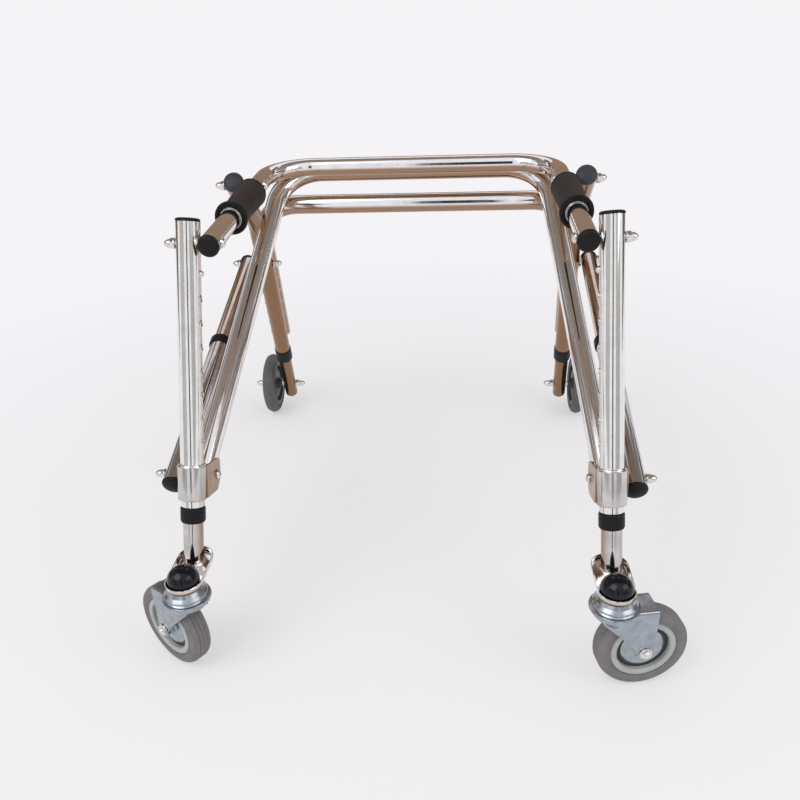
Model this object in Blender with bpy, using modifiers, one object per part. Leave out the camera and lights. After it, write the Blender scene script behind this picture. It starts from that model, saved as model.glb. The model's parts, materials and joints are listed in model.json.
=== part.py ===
"""Folding pediatric walker: two leaning front posts, a handle rail, a diagonal frame,
a rear frame that folds forward, telescopic legs, swivelling front wheels and rear wheels.
Metres, +Z up, the open front looks along -Y, the origin lies on the floor."""

import math

import bmesh
import bpy
from mathutils import Matrix, Vector

# Clearances
GAP = 0.0003
BOLT_CLEARANCE = 0.0005
HUB_CLEARANCE = 0.0004

# Tube stock
SLIDE_TUBE = 0.0222
SLIDE_WALL = 0.0015
FRAME_WALL = 0.0013
U_BEND_RADIUS = 0.060
KNEE_BEND_RADIUS = 0.070

# Front posts, with distances along the post measured from its top
POST_TOP_HEIGHT = 0.4711
ORIGIN_BEHIND_POSTS = 0.1986
POST_LEAN = math.radians(17.15)
POST_SPLAY = math.radians(2.93)
POST_FOOT_HEIGHT = 0.1820
POST_BOLT_DOWN = 0.0215
POST_CAP_HEIGHT = 0.003
POST_CAP_SPIGOT = 0.012
FRONT_BUSH_LENGTH = 0.018
FRONT_BUSH_LIP = 0.0011

# Height setting: rows of holes and snap buttons
HOLE_PITCH = 0.0254
HOLE_COUNT = 8
SETTINGS = 7
FRONT_BUTTON_DOWN = 0.052
FRONT_LEG_TOP_DOWN = 0.037
BUTTON_RADIUS = 0.0030
BUTTON_PROUD = 0.0025
BUTTON_LEAF_LENGTH = 0.026
BUTTON_LEAF_THICKNESS = 0.0012
BUTTON_LEAF_WIDTH = 0.0060

# Handle rail, measured along the rail from the post bolt
RAIL_HALF_WIDTH = 0.190
RAIL_RISE = math.radians(4.0)
RAIL_TOE = 0.0090
RAIL_REACH = 0.313
PLUG_DOME = 0.0055
PLUG_SPIGOT = 0.0045
GRIP_START = 0.0825
GRIP_LENGTH = 0.106
GRIP_RADIUS = 0.0168
GRIP_FLANGE_RADIUS = 0.0188
GRIP_FAR_FLANGE_RADIUS = 0.0178
GRIP_FLANGE_LENGTH = 0.0045

# Diagonal frame, hung close behind and below the rail's rear bar
DIAGONAL_BAR_ANGLE = math.radians(-24.2)
DIAGONAL_BAR_GAP = 0.0009
DIAGONAL_TOP_HALF_WIDTH = 0.1795
DIAGONAL_TOE = 0.0105
DIAGONAL_EAR_CLEARANCE = 0.0022

# Brackets welded round the posts' feet, with two ears that hold the lower bolt
BRACKET_ABOVE_FOOT = 0.0085
BRACKET_LENGTH = 0.038
BRACKET_WALL = 0.0029
LOWER_BOLT_IN_BRACKET = 0.0190
LOWER_BOLT_BEHIND = 0.0348
EAR_THICKNESS = 0.0022
EAR_BEYOND_BOLT = 0.0127
EAR_REAR_DROP = 0.0020
EAR_CORNER = 0.0130
EAR_INSET = 0.0007

# Rear legs: a short top stretch, a knee, and a long lower stretch
PIVOT_ALONG_RAIL = 0.2100
PIVOT_ABOVE_RAIL = 0.0035
LEG_TOE = 0.0090
LEG_TOP_STRETCH = 0.1231
LEG_TOP_DROP = math.radians(34.1)
LEG_TOP_SPLAY = math.radians(2.2)
LEG_LEAN = math.radians(32.0)
LEG_SPLAY = math.radians(4.1)
LEG_SIDE_GAP = 0.0020
LEG_TUBE_LENGTH = 0.296
REAR_BUSH_LENGTH = 0.030
REAR_BUSH_LIP = 0.0012
REAR_BUTTON_BELOW_BOLT = 0.0135
REAR_LEG_TOP_BELOW_BOLT = 0.0060
REAR_INNER_BELOW_AXLE = 0.029

# Cross frame that runs down behind the rear legs
CROSS_BAR_ABOVE_KNEE = 0.0075
CROSS_LEG_SHORTER = 0.0150
CROSS_HOLES_START = 0.0742
CROSS_HOLE_PITCH = 0.0292
CROSS_HOLE_COUNT = 6
CROSS_HOLE_ANGLE = math.radians(38.0)

# Telescopic braces
BRACE_TOP_BELOW_KNEE = 0.0835
BRACE_TOP_SPACER = 0.0024
BRACE_TOE = 0.0150
BRACE_SLEEVE_LENGTH = 0.236
BRACE_COLLAR_LENGTH = 0.014
BRACE_COLLAR_WALL = 0.0020
BRACE_INSERTED = 0.056
BRACE_ROD_TOE = 0.0045

# Bolts
BOLT_RADIUS = 0.0030
BOLT_HEAD_RADIUS = 0.0055
BOLT_HEAD_HEIGHT = 0.0035
NUT_RADIUS = 0.0058
NUT_HEIGHT = 0.0050
NUT_DOME = 0.0070
AXLE_NUT_RADIUS = 0.0068
AXLE_NUT_HEIGHT = 0.0065
AXLE_NUT_DOME = 0.0105

# Front casters
FRONT_WHEEL_RADIUS = 0.050
FRONT_TYRE_WIDTH = 0.025
FRONT_HUB_RADIUS = 0.036
FRONT_HUB_RIM = 0.0075
FRONT_GUARD_RADIUS = 0.025
CASTER_LEAD = 0.0425
CASTER_INBOARD = 0.0025
CASTER_TRAIL = 0.034
LEFT_CASTER_TURN = math.radians(11.0)
RIGHT_CASTER_TURN = math.radians(144.7)
FORK_OVER_WHEEL = 0.0030
FORK_THICKNESS = 0.0030
FORK_SIDE_CLEARANCE = 0.0004
FORK_CROWN_RADIUS = 0.0272
FORK_FOOT_RADIUS = 0.0085
FORK_NOSE = 0.0170
FORK_NOSE_DEPTH = 0.0070
LOWER_RACE_HEIGHT = 0.0065
UPPER_RACE_HEIGHT = 0.0075
UPPER_RACE_RADIUS = 0.0236
KINGPIN_RADIUS = 0.0050
KINGPIN_NUT_RADIUS = 0.0085
KINGPIN_NUT_HEIGHT = 0.0060
TRAY_RADIUS = 0.0200
TRAY_WALL = 0.0016
TRAY_FLOOR = 0.0035
TRAY_RIM = 0.0062
COVER_CLEARANCE = 0.0010
COVER_WALL = 0.0018
COVER_DOME = 0.0172

# Rear wheels
REAR_WHEEL_RADIUS = 0.054
REAR_TYRE_WIDTH = 0.022
REAR_HUB_RADIUS = 0.0405
REAR_HUB_RIM = 0.0078
REAR_GUARD_RADIUS = 0.027
REAR_HUB_WIDTH = 0.030
REAR_WHEEL_SPACER = 0.0042
HUB_BOSS_PROUD = 0.0010
AXLE_RADIUS = 0.0040
HUB_BOSS_RADIUS = 0.0095
WHEEL_SIDE_CLEARANCE = 0.0003

# Mesh fineness
TUBE_SIDES = 16
BEND_RESOLUTION = 6
BEND_STEP_ANGLE = math.radians(18)
HOLE_SIDES = 6
BOLT_SIDES = 8
WHEEL_SIDES = 28
HUB_SIDES = 16
ARC_STEPS = 6

# Sizes that follow from the ones above
SLIDE_RADIUS = SLIDE_TUBE / 2
SLIDE_BORE = SLIDE_RADIUS - SLIDE_WALL
FRAME_BORE = SLIDE_RADIUS + GAP
FRAME_RADIUS = FRAME_BORE + FRAME_WALL
BRACKET_RADIUS = FRAME_RADIUS + GAP + BRACKET_WALL
COVER_RADIUS = TRAY_RADIUS - TRAY_WALL - COVER_CLEARANCE
BOLT_HOLE_RADIUS = BOLT_RADIUS + BOLT_CLEARANCE
BUTTON_HOLE_RADIUS = BUTTON_RADIUS + BOLT_CLEARANCE

POST_STRETCH = Vector((math.tan(POST_SPLAY), math.tan(POST_LEAN), 1)).length
POST_LENGTH = (POST_TOP_HEIGHT - POST_FOOT_HEIGHT) * POST_STRETCH
BRACKET_TOP_DOWN = POST_LENGTH - BRACKET_ABOVE_FOOT - BRACKET_LENGTH
LOWER_BOLT_DOWN = BRACKET_TOP_DOWN + LOWER_BOLT_IN_BRACKET
EAR_REACH = LOWER_BOLT_BEHIND + EAR_BEYOND_BOLT
REAR_BUTTON_DOWN = BRACE_TOP_BELOW_KNEE + REAR_BUTTON_BELOW_BOLT
REAR_LEG_TOP_DOWN = BRACE_TOP_BELOW_KNEE + REAR_LEG_TOP_BELOW_BOLT
CROSS_LEG_LENGTH = LEG_TUBE_LENGTH - CROSS_LEG_SHORTER

UP = Vector((0, 0, 1))
SIDES = (("left", 1), ("right", -1))

# Colour, roughness and metallic value of each finish
LOOKS = {
    "chrome": ((0.80, 0.80, 0.82), 0.16, 1.0),
    "zinc": ((0.66, 0.68, 0.72), 0.34, 1.0),
    "bolt": ((0.72, 0.72, 0.74), 0.25, 1.0),
    "black": ((0.020, 0.020, 0.022), 0.38, 0.0),
    "gloss_black": ((0.012, 0.012, 0.014), 0.14, 0.0),
    "foam": ((0.030, 0.022, 0.020), 0.85, 0.0),
    "tyre": ((0.30, 0.30, 0.31), 0.72, 0.0),
    "hub": ((0.62, 0.66, 0.64), 0.48, 0.0),
}


# Scene helpers


def clear_scene():
    for obj in list(bpy.data.objects):
        bpy.data.objects.remove(obj, do_unlink=True)


def new_collection(name):
    group = bpy.data.collections.new(name)
    bpy.context.scene.collection.children.link(group)
    return group


def own_material(name, look):
    colour, roughness, metallic = LOOKS[look]
    material = bpy.data.materials.new(name)
    material.use_nodes = True
    shader = material.node_tree.nodes["Principled BSDF"]
    shader.inputs["Base Color"].default_value = (*colour, 1.0)
    shader.inputs["Roughness"].default_value = roughness
    shader.inputs["Metallic"].default_value = metallic
    return material


def frame_at(point, axis, toward):
    """Matrix with local Z along axis and local X as near to toward as it can be."""
    z = axis.normalized()
    x = (toward - z * toward.dot(z)).normalized()
    matrix = Matrix((x, z.cross(x), z)).transposed().to_4x4()
    matrix.translation = point
    return matrix


def any_side(axis):
    return UP if abs(axis.normalized().z) < 0.9 else Vector((1, 0, 0))


def add_part(name, mesh, matrix, look):
    obj = bpy.data.objects.new(name, mesh)
    PART.objects.link(obj)
    obj.matrix_world = matrix
    mesh.materials.clear()
    mesh.materials.append(own_material(name, look))
    return obj


def make_helper(obj):
    """Turns an object into a hidden operand of a Boolean."""
    if obj.name in PART.objects:
        PART.objects.unlink(obj)
    if obj.name not in HELPERS.objects:
        HELPERS.objects.link(obj)
    obj.hide_render = True
    obj.display_type = "WIRE"
    return obj


def boolean(obj, operand, operation):
    step = obj.modifiers.new(operand.name, "BOOLEAN")
    step.operation = operation
    step.solver = "EXACT"
    step.object = make_helper(operand)


def cut(obj, operand):
    boolean(obj, operand, "DIFFERENCE")


def weld_on(obj, operand):
    boolean(obj, operand, "UNION")


# Shape makers


def turned(name, profile, matrix, look, steps=TUBE_SIDES, ring=False):
    """Turns a profile of (radius, height) pairs that runs from the top down the outer side."""
    mesh = bpy.data.meshes.new(name)
    count = len(profile)
    edges = [(i, i + 1) for i in range(count - 1)]
    if ring:
        edges.append((count - 1, 0))
    mesh.from_pydata([(r, 0, z) for r, z in profile], edges, [])
    obj = add_part(name, mesh, matrix, look)
    screw = obj.modifiers.new("turn", "SCREW")
    screw.axis = "Z"
    screw.steps = steps
    screw.render_steps = steps
    screw.use_merge_vertices = True
    screw.merge_threshold = 0.00001
    screw.use_smooth_shade = True
    return obj


def straight_tube(name, start, end, radius, bore, look):
    """Open tube between two points."""
    axis = start - end
    length = axis.length
    profile = [(radius, length), (radius, 0), (bore, 0), (bore, length)]
    return turned(name, profile, frame_at(end, axis, any_side(axis)), look, ring=True)


def mesh_from_curve(name, curve, matrix, look):
    """Makes a mesh object from a curve, with its loose edges welded."""
    source = bpy.data.objects.new(name + "_curve", curve)
    HELPERS.objects.link(source)
    source.matrix_world = matrix
    bpy.context.view_layer.update()
    seen = source.evaluated_get(bpy.context.evaluated_depsgraph_get())
    mesh = bpy.data.meshes.new_from_object(seen)
    mesh.name = name
    bm = bmesh.new()
    bm.from_mesh(mesh)
    bmesh.ops.remove_doubles(bm, verts=bm.verts, dist=0.000001)
    bm.to_mesh(mesh)
    bm.free()
    obj = add_part(name, mesh, source.matrix_world.copy(), look)
    bpy.data.objects.remove(source, do_unlink=True)
    return obj


def rounded_path(corners, radius):
    """Points along straight runs whose corners are arcs of one radius."""
    points = [corners[0]]
    for before, corner, after in zip(corners, corners[1:], corners[2:]):
        back = (before - corner).normalized()
        ahead = (after - corner).normalized()
        half = back.angle(ahead) / 2
        start = corner + back * (radius / math.tan(half))
        centre = corner + (back + ahead).normalized() * (radius / math.sin(half))
        spoke = start - centre
        hinge = ahead.cross(back).normalized()
        bend = math.pi - 2 * half
        steps = max(2, round(bend / BEND_STEP_ANGLE))
        for k in range(steps + 1):
            turn = bend * k / steps
            points.append(centre + Matrix.Rotation(turn, 3, hinge) @ spoke)
    points.append(corners[-1])
    return points


def bent_tube(name, corners, bend_radius, radius, bore, look):
    """Hollow tube with open ends along straight runs and bends."""
    path = rounded_path(corners, bend_radius)
    curve = bpy.data.curves.new(name, "CURVE")
    curve.dimensions = "3D"
    curve.bevel_depth = radius
    curve.bevel_resolution = BEND_RESOLUTION
    curve.use_fill_caps = False
    spline = curve.splines.new("POLY")
    spline.points.add(len(path) - 1)
    for point, place in zip(spline.points, path):
        point.co = (*place, 1)
    obj = mesh_from_curve(name, curve, Matrix.Identity(4), look)
    wall = obj.modifiers.new("wall", "SOLIDIFY")
    wall.thickness = radius - bore
    wall.offset = -1
    wall.use_even_offset = True
    obj.data.shade_smooth()
    return obj


def arc(centre, radius, first, last, steps):
    """Points of an arc in a plane, both ends included."""
    turns = [first + (last - first) * k / steps for k in range(steps + 1)]
    return [(centre + radius * math.cos(a), radius * math.sin(a)) for a in turns]


def flat_plate(name, outline, thickness, matrix, look):
    """Flat plate from an outline of (x, y) pairs, centred on its own plane."""
    curve = bpy.data.curves.new(name, "CURVE")
    curve.dimensions = "2D"
    curve.fill_mode = "BOTH"
    curve.extrude = thickness / 2
    spline = curve.splines.new("POLY")
    spline.points.add(len(outline) - 1)
    for point, (x, y) in zip(spline.points, outline):
        point.co = (x, y, 0, 1)
    spline.use_cyclic_u = True
    return mesh_from_curve(name, curve, matrix, look)


def round_ended_plate(name, start, end, radius, thickness, normal, look):
    """Flat plate with two equal round ends joined by straight sides."""
    reach = (end - start).length
    quarter = math.pi / 2
    outline = arc(0, radius, quarter, 3 * quarter, ARC_STEPS)
    outline += arc(reach, radius, -quarter, quarter, ARC_STEPS)
    return flat_plate(name, outline, thickness, frame_at(start, normal, end - start), look)


def pins(name, places, sides=HOLE_SIDES):
    """One helper mesh of cylinders, each given as start, end and radius."""
    bm = bmesh.new()
    for start, end, radius in places:
        axis = end - start
        matrix = frame_at((start + end) / 2, axis, any_side(axis))
        bmesh.ops.create_cone(
            bm, cap_ends=True, segments=sides, radius1=radius, radius2=radius,
            depth=axis.length, matrix=matrix,
        )
    mesh = bpy.data.meshes.new(name)
    bm.to_mesh(mesh)
    bm.free()
    return make_helper(add_part(name, mesh, Matrix.Identity(4), "bolt"))


def block(name, size, matrix, look):
    bm = bmesh.new()
    bmesh.ops.create_cube(bm, size=1, matrix=Matrix.Diagonal((*size, 1)))
    mesh = bpy.data.meshes.new(name)
    bm.to_mesh(mesh)
    bm.free()
    return add_part(name, mesh, matrix, look)


def dome(radius, height, base, steps=4):
    """Profile points of a dome, from its tip down to its rim."""
    quarter = [math.pi / 2 * k / steps for k in range(steps + 1)]
    return [(radius * math.sin(a), base + height * math.cos(a)) for a in quarter]


def plug(name, end, outward, radius, bore, look):
    """Domed end plug with a spigot inside the tube."""
    spigot = bore - GAP
    profile = dome(radius, PLUG_DOME, GAP)
    profile += [(spigot, GAP), (spigot, -PLUG_SPIGOT), (0, -PLUG_SPIGOT)]
    return turned(name, profile, frame_at(end, outward, any_side(outward)), look, 12)


def bolt(name, head_face, nut_face, look="bolt"):
    """Bolt whose head and cap nut face each other across what they clamp."""
    axis = nut_face - head_face
    grip = axis.length
    profile = dome(NUT_RADIUS * 0.8, NUT_DOME, grip + NUT_HEIGHT, 3)
    profile += [(NUT_RADIUS, grip + NUT_HEIGHT), (NUT_RADIUS, grip)]
    profile += [(BOLT_RADIUS, grip), (BOLT_RADIUS, 0)]
    profile += [(BOLT_HEAD_RADIUS, 0), (BOLT_HEAD_RADIUS, -BOLT_HEAD_HEIGHT * 0.6)]
    profile += [(BOLT_HEAD_RADIUS * 0.7, -BOLT_HEAD_HEIGHT), (0, -BOLT_HEAD_HEIGHT)]
    return turned(name, profile, frame_at(head_face, axis, UP), look, BOLT_SIDES)


# Places in the frame: x is measured outboard, behind is measured from the post tops


def spot(side, x, behind, height):
    return Vector((side * x, behind - ORIGIN_BEHIND_POSTS, height))


def outboard(side):
    return Vector((side, 0, 0))


def post_way(side):
    way = Vector((side * math.tan(POST_SPLAY), -math.tan(POST_LEAN), -1))
    return way.normalized()


def post_point(side, down):
    """Point on a post's axis. At the bolt the post's flank lies against the rail."""
    beside = (SLIDE_RADIUS + FRAME_RADIUS + GAP) / math.cos(POST_SPLAY)
    way = post_way(side)
    top = RAIL_HALF_WIDTH + beside - POST_BOLT_DOWN * abs(way.x)
    return spot(side, top, 0, POST_TOP_HEIGHT) + way * down


def square_to(way, toward):
    return (toward - way * toward.dot(way)).normalized()


def rail_point(side, along):
    """Point on the rail's side run, measured rearward from the post bolt."""
    bolt_place = post_point(side, POST_BOLT_DOWN)
    start = Vector((side * RAIL_HALF_WIDTH, bolt_place.y, bolt_place.z))
    return start + along * Vector((0, math.cos(RAIL_RISE), math.sin(RAIL_RISE)))


def diagonal_corner(side):
    bar = rail_point(side, RAIL_REACH)
    apart = SLIDE_RADIUS + FRAME_RADIUS + DIAGONAL_BAR_GAP
    angle = DIAGONAL_BAR_ANGLE
    shift = apart * Vector((0, math.cos(angle), math.sin(angle)))
    return Vector((side * DIAGONAL_TOP_HALF_WIDTH, bar.y, bar.z)) + shift


def beside_post(side, down, behind):
    """Point in the post's own side plane, behind its axis."""
    way = post_way(side)
    flat = Vector((0, way.y, way.z)).normalized()
    return post_point(side, down) + Vector((0, -flat.z, flat.y)) * behind


def lower_bolt_place(side, x):
    """Point on the axis of the bolt that joins bracket, diagonal frame and brace."""
    place = beside_post(side, LOWER_BOLT_DOWN, LOWER_BOLT_BEHIND)
    return Vector((side * x, place.y, place.z))


def diagonal_foot_x():
    """The diagonal frame's foot stands behind the post's axis."""
    return post_point(1, LOWER_BOLT_DOWN).x


def diagonal_foot(side):
    return lower_bolt_place(side, diagonal_foot_x())


def inner_ear_x():
    """Middle plane of the ear inboard of the diagonal frame's foot."""
    beside = FRAME_RADIUS + DIAGONAL_EAR_CLEARANCE + EAR_THICKNESS / 2
    return diagonal_foot_x() - beside


def outer_ear_x():
    """Middle plane of the ear outboard of the diagonal frame's foot."""
    return 2 * diagonal_foot_x() - inner_ear_x()


def pivot_point(side):
    """Where the rear leg's axis meets its pivot bolt."""
    place = rail_point(side, PIVOT_ALONG_RAIL)
    x = RAIL_HALF_WIDTH + SLIDE_RADIUS + LEG_SIDE_GAP + FRAME_RADIUS
    return Vector((side * x, place.y, place.z + PIVOT_ABOVE_RAIL))


def knee_point(side):
    drop = Vector((0, math.cos(LEG_TOP_DROP), -math.sin(LEG_TOP_DROP)))
    way = drop * math.cos(LEG_TOP_SPLAY) + outboard(side) * math.sin(LEG_TOP_SPLAY)
    return pivot_point(side) + way * LEG_TOP_STRETCH


def leg_way(side):
    way = Vector((0, math.sin(LEG_LEAN), -math.cos(LEG_LEAN))) * math.cos(LEG_SPLAY)
    return way + outboard(side) * math.sin(LEG_SPLAY)


def leg_point(side, down):
    """Point on the rear leg's lower stretch, measured from its knee."""
    return knee_point(side) + leg_way(side) * down


def cross_point(side, down):
    """Point on the cross frame's side run, just behind the rear leg."""
    behind = Vector((0, math.cos(LEG_LEAN), math.sin(LEG_LEAN)))
    return leg_point(side, down) + behind * (2 * FRAME_RADIUS + GAP)


def axle_down():
    """Distance from the knee to the rear axle, which stands a wheel's radius up."""
    return (knee_point(1).z - REAR_WHEEL_RADIUS) / -leg_way(1).z


def tray_height():
    """Height of the front trays' underside above the floor."""
    wheel_top = 2 * FRONT_WHEEL_RADIUS
    return wheel_top + FORK_OVER_WHEEL + LOWER_RACE_HEIGHT + GAP + UPPER_RACE_HEIGHT


def front_leg_foot_down():
    """Distance along the post's axis to the middle of the tray's floor."""
    drop = POST_TOP_HEIGHT - tray_height() - TRAY_FLOOR / 2
    return drop / -post_way(1).z


def swivel_place(side):
    """Point on the caster's swivel axis, on the floor."""
    foot = post_point(side, front_leg_foot_down())
    return Vector((foot.x - side * CASTER_INBOARD, foot.y - CASTER_LEAD, 0))


def brace_foot(side):
    """Where the brace's axis meets the lower bolt, outboard of the bracket."""
    return lower_bolt_place(side, outer_ear_x() + EAR_THICKNESS / 2 + GAP + FRAME_RADIUS)


def brace_top(side):
    """Where the brace's axis meets its upper bolt, beside the rear leg."""
    centre = leg_point(side, BRACE_TOP_BELOW_KNEE)
    x = abs(centre.x) + FRAME_RADIUS + BRACE_TOP_SPACER + SLIDE_RADIUS
    return Vector((side * x, centre.y, centre.z))


def brace_way(side):
    return (brace_top(side) - brace_foot(side)).normalized()


# Fixed frame: posts, rail, diagonal frame and their fittings


def post_tube(word, side):
    name = word + "_post_tube"
    top = post_point(side, 0)
    end = post_point(side, POST_LENGTH)
    obj = straight_tube(name, top, end, FRAME_RADIUS, FRAME_BORE, "chrome")
    inward = square_to(post_way(side), -outboard(side))
    holes = []
    for k in range(HOLE_COUNT):
        centre = post_point(side, FRONT_BUTTON_DOWN + k * HOLE_PITCH)
        reach = inward * (FRAME_RADIUS * 1.5)
        holes.append((centre + inward * SLIDE_BORE / 2, centre + reach, BUTTON_HOLE_RADIUS))
    cut(obj, pins(name + "_holes", holes))
    bolt_place = post_point(side, POST_BOLT_DOWN)
    across = outboard(side) * FRAME_RADIUS * 1.5
    cross_hole = [(bolt_place - across, bolt_place + across, BOLT_HOLE_RADIUS)]
    cut(obj, pins(name + "_bolt_hole", cross_hole))
    return obj


def post_cap(word, side):
    spigot = FRAME_BORE - GAP
    top = POST_CAP_HEIGHT + GAP
    edge = POST_CAP_HEIGHT * 0.2
    profile = [(0, top), (FRAME_RADIUS - edge, top), (FRAME_RADIUS, top - edge)]
    profile += [(FRAME_RADIUS, GAP), (spigot, GAP), (spigot, -POST_CAP_SPIGOT)]
    profile += [(0, -POST_CAP_SPIGOT)]
    matrix = frame_at(post_point(side, 0), -post_way(side), outboard(side))
    return turned(word + "_post_cap", profile, matrix, "black")


def front_bush(word, side):
    outer = FRAME_RADIUS + FRONT_BUSH_LIP
    bore = SLIDE_RADIUS + GAP
    start = post_point(side, POST_LENGTH + GAP)
    end = post_point(side, POST_LENGTH + GAP + FRONT_BUSH_LENGTH)
    return straight_tube(word + "_front_bush", start, end, outer, bore, "black")


def post_bracket(word, side):
    name = word + "_post_bracket"
    way = post_way(side)
    low = post_point(side, BRACKET_TOP_DOWN + BRACKET_LENGTH)
    profile = [(0, BRACKET_LENGTH), (BRACKET_RADIUS, BRACKET_LENGTH), (BRACKET_RADIUS, 0), (0, 0)]
    obj = turned(name, profile, frame_at(low, -way, outboard(side)), "chrome")
    weld_on(obj, bracket_ear(name + "_inner_ear", side, inner_ear_x()))
    weld_on(obj, bracket_ear(name + "_outer_ear", side, outer_ear_x()))
    near = lower_bolt_place(side, inner_ear_x() - EAR_THICKNESS)
    far = lower_bolt_place(side, outer_ear_x() + EAR_THICKNESS)
    cut(obj, pins(name + "_hole", [(near, far, BOLT_HOLE_RADIUS)]))
    past = BRACKET_LENGTH
    above = post_point(side, BRACKET_TOP_DOWN - past)
    below = post_point(side, BRACKET_TOP_DOWN + BRACKET_LENGTH + past)
    cut(obj, pins(name + "_bore", [(above, below, FRAME_RADIUS + GAP)], TUBE_SIDES))
    return obj


def bracket_ear(name, side, x):
    """Ear that reaches back from the post, lower at its rear edge."""
    top = post_point(side, BRACKET_TOP_DOWN)
    origin = Vector((side * x, top.y, top.z))
    back = beside_post(side, BRACKET_TOP_DOWN, 1) - top
    low = BRACKET_LENGTH - EAR_INSET
    outline = [(0, -EAR_INSET), (BRACKET_RADIUS, -EAR_INSET), (EAR_REACH, -EAR_REAR_DROP)]
    outline += [(EAR_REACH, EAR_CORNER - low), (EAR_REACH - EAR_CORNER, -low), (0, -low)]
    return flat_plate(name, outline, EAR_THICKNESS, frame_at(origin, outboard(1), back), "chrome")


def post_bolt(word, side):
    place = post_point(side, POST_BOLT_DOWN)
    head = rail_point(side, 0) - outboard(side) * (SLIDE_RADIUS + GAP)
    nut = place + outboard(side) * (FRAME_RADIUS / math.cos(POST_SPLAY) + 2 * GAP)
    return bolt(word + "_post_bolt", head, nut)


def lower_bolt(word, side):
    head = lower_bolt_place(side, inner_ear_x() - EAR_THICKNESS / 2 - GAP)
    nut = brace_foot(side) + outboard(side) * (FRAME_RADIUS + 2 * GAP)
    return bolt(word + "_lower_bolt", head, nut)


def handle_rail():
    corners = [rail_point(1, -RAIL_TOE), rail_point(1, RAIL_REACH)]
    corners += [rail_point(-1, RAIL_REACH), rail_point(-1, -RAIL_TOE)]
    obj = bent_tube("handle_rail", corners, U_BEND_RADIUS, SLIDE_RADIUS, SLIDE_BORE, "chrome")
    holes = []
    for word, side in SIDES:
        across = outboard(side) * SLIDE_RADIUS * 1.5
        pivot = pivot_point(side)
        for y, z in ((rail_point(side, 0).yz), (pivot.yz)):
            middle = Vector((side * RAIL_HALF_WIDTH, y, z))
            holes.append((middle - across, middle + across, BOLT_HOLE_RADIUS))
    cut(obj, pins("handle_rail_holes", holes))
    return obj


def rail_plug(word, side):
    ahead = rail_point(side, -1) - rail_point(side, 0)
    end = rail_point(side, -RAIL_TOE)
    return plug(word + "_rail_plug", end, ahead, SLIDE_RADIUS, SLIDE_BORE, "black")


def hand_grip(word, side):
    start = rail_point(side, GRIP_START)
    back = rail_point(side, 1) - rail_point(side, 0)
    bore = SLIDE_RADIUS + GAP
    far = GRIP_LENGTH - GRIP_FLANGE_LENGTH
    profile = [(GRIP_FAR_FLANGE_RADIUS, GRIP_LENGTH), (GRIP_FAR_FLANGE_RADIUS, far)]
    profile += [(GRIP_RADIUS, far - 0.0010), (GRIP_RADIUS, GRIP_FLANGE_LENGTH + 0.0010)]
    profile += [(GRIP_FLANGE_RADIUS, GRIP_FLANGE_LENGTH), (GRIP_FLANGE_RADIUS, 0)]
    profile += [(bore, 0), (bore, GRIP_LENGTH)]
    return turned(word + "_grip", profile, frame_at(start, back, UP), "foam", ring=True)


def diagonal_frame():
    corners = []
    for side in (1, -1):
        corner = diagonal_corner(side)
        foot = diagonal_foot(side)
        end = foot + (foot - corner).normalized() * DIAGONAL_TOE
        corners += [end, corner] if side > 0 else [corner, end]
    obj = bent_tube("diagonal_frame", corners, U_BEND_RADIUS, FRAME_RADIUS, FRAME_BORE, "chrome")
    holes = []
    for word, side in SIDES:
        across = outboard(side) * FRAME_RADIUS * 1.5
        holes.append((diagonal_foot(side) - across, diagonal_foot(side) + across, BOLT_HOLE_RADIUS))
    cut(obj, pins("diagonal_frame_holes", holes))
    return obj


def rear_pivot_bolt(word, side):
    place = pivot_point(side)
    head_x = RAIL_HALF_WIDTH - SLIDE_RADIUS - GAP
    head = Vector((side * head_x, place.y, place.z))
    nut = place + outboard(side) * (FRAME_RADIUS + 2 * GAP)
    return bolt(word + "_rear_pivot_bolt", head, nut)


def build_fixed_frame():
    parts = [handle_rail(), diagonal_frame()]
    makers = (post_tube, post_cap, front_bush, post_bracket, post_bolt, lower_bolt,
              rail_plug, hand_grip, rear_pivot_bolt)
    for word, side in SIDES:
        parts += [make(word, side) for make in makers]
    return parts


# Rear frame: the two legs and the cross frame, which fold forward together


def rear_leg_tube(word, side):
    name = word + "_rear_leg_tube"
    up_way = (pivot_point(side) - knee_point(side)).normalized()
    corners = [pivot_point(side) + up_way * LEG_TOE, knee_point(side)]
    corners.append(leg_point(side, LEG_TUBE_LENGTH))
    obj = bent_tube(name, corners, KNEE_BEND_RADIUS, FRAME_RADIUS, FRAME_BORE, "chrome")
    across = outboard(side) * FRAME_RADIUS * 1.5
    holes = []
    for place in (pivot_point(side), leg_point(side, BRACE_TOP_BELOW_KNEE)):
        holes.append((place - across, place + across, BOLT_HOLE_RADIUS))
    outward = square_to(leg_way(side), outboard(side))
    for k in range(SETTINGS):
        down = REAR_BUTTON_DOWN + k * HOLE_PITCH
        centre = leg_point(side, down)
        reach = outward * (FRAME_RADIUS * 1.5)
        holes.append((centre + outward * SLIDE_BORE / 2, centre + reach, BUTTON_HOLE_RADIUS))
    cut(obj, pins(name + "_holes", holes))
    return obj


def rear_leg_plug(word, side):
    up_way = (pivot_point(side) - knee_point(side)).normalized()
    end = pivot_point(side) + up_way * LEG_TOE
    return plug(word + "_rear_leg_plug", end, up_way, FRAME_RADIUS, FRAME_BORE, "black")


def rear_bush(word, side):
    outer = FRAME_RADIUS + REAR_BUSH_LIP
    bore = SLIDE_RADIUS + GAP
    start = leg_point(side, LEG_TUBE_LENGTH + GAP)
    end = leg_point(side, LEG_TUBE_LENGTH + GAP + REAR_BUSH_LENGTH)
    return straight_tube(word + "_rear_bush", start, end, outer, bore, "black")


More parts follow.
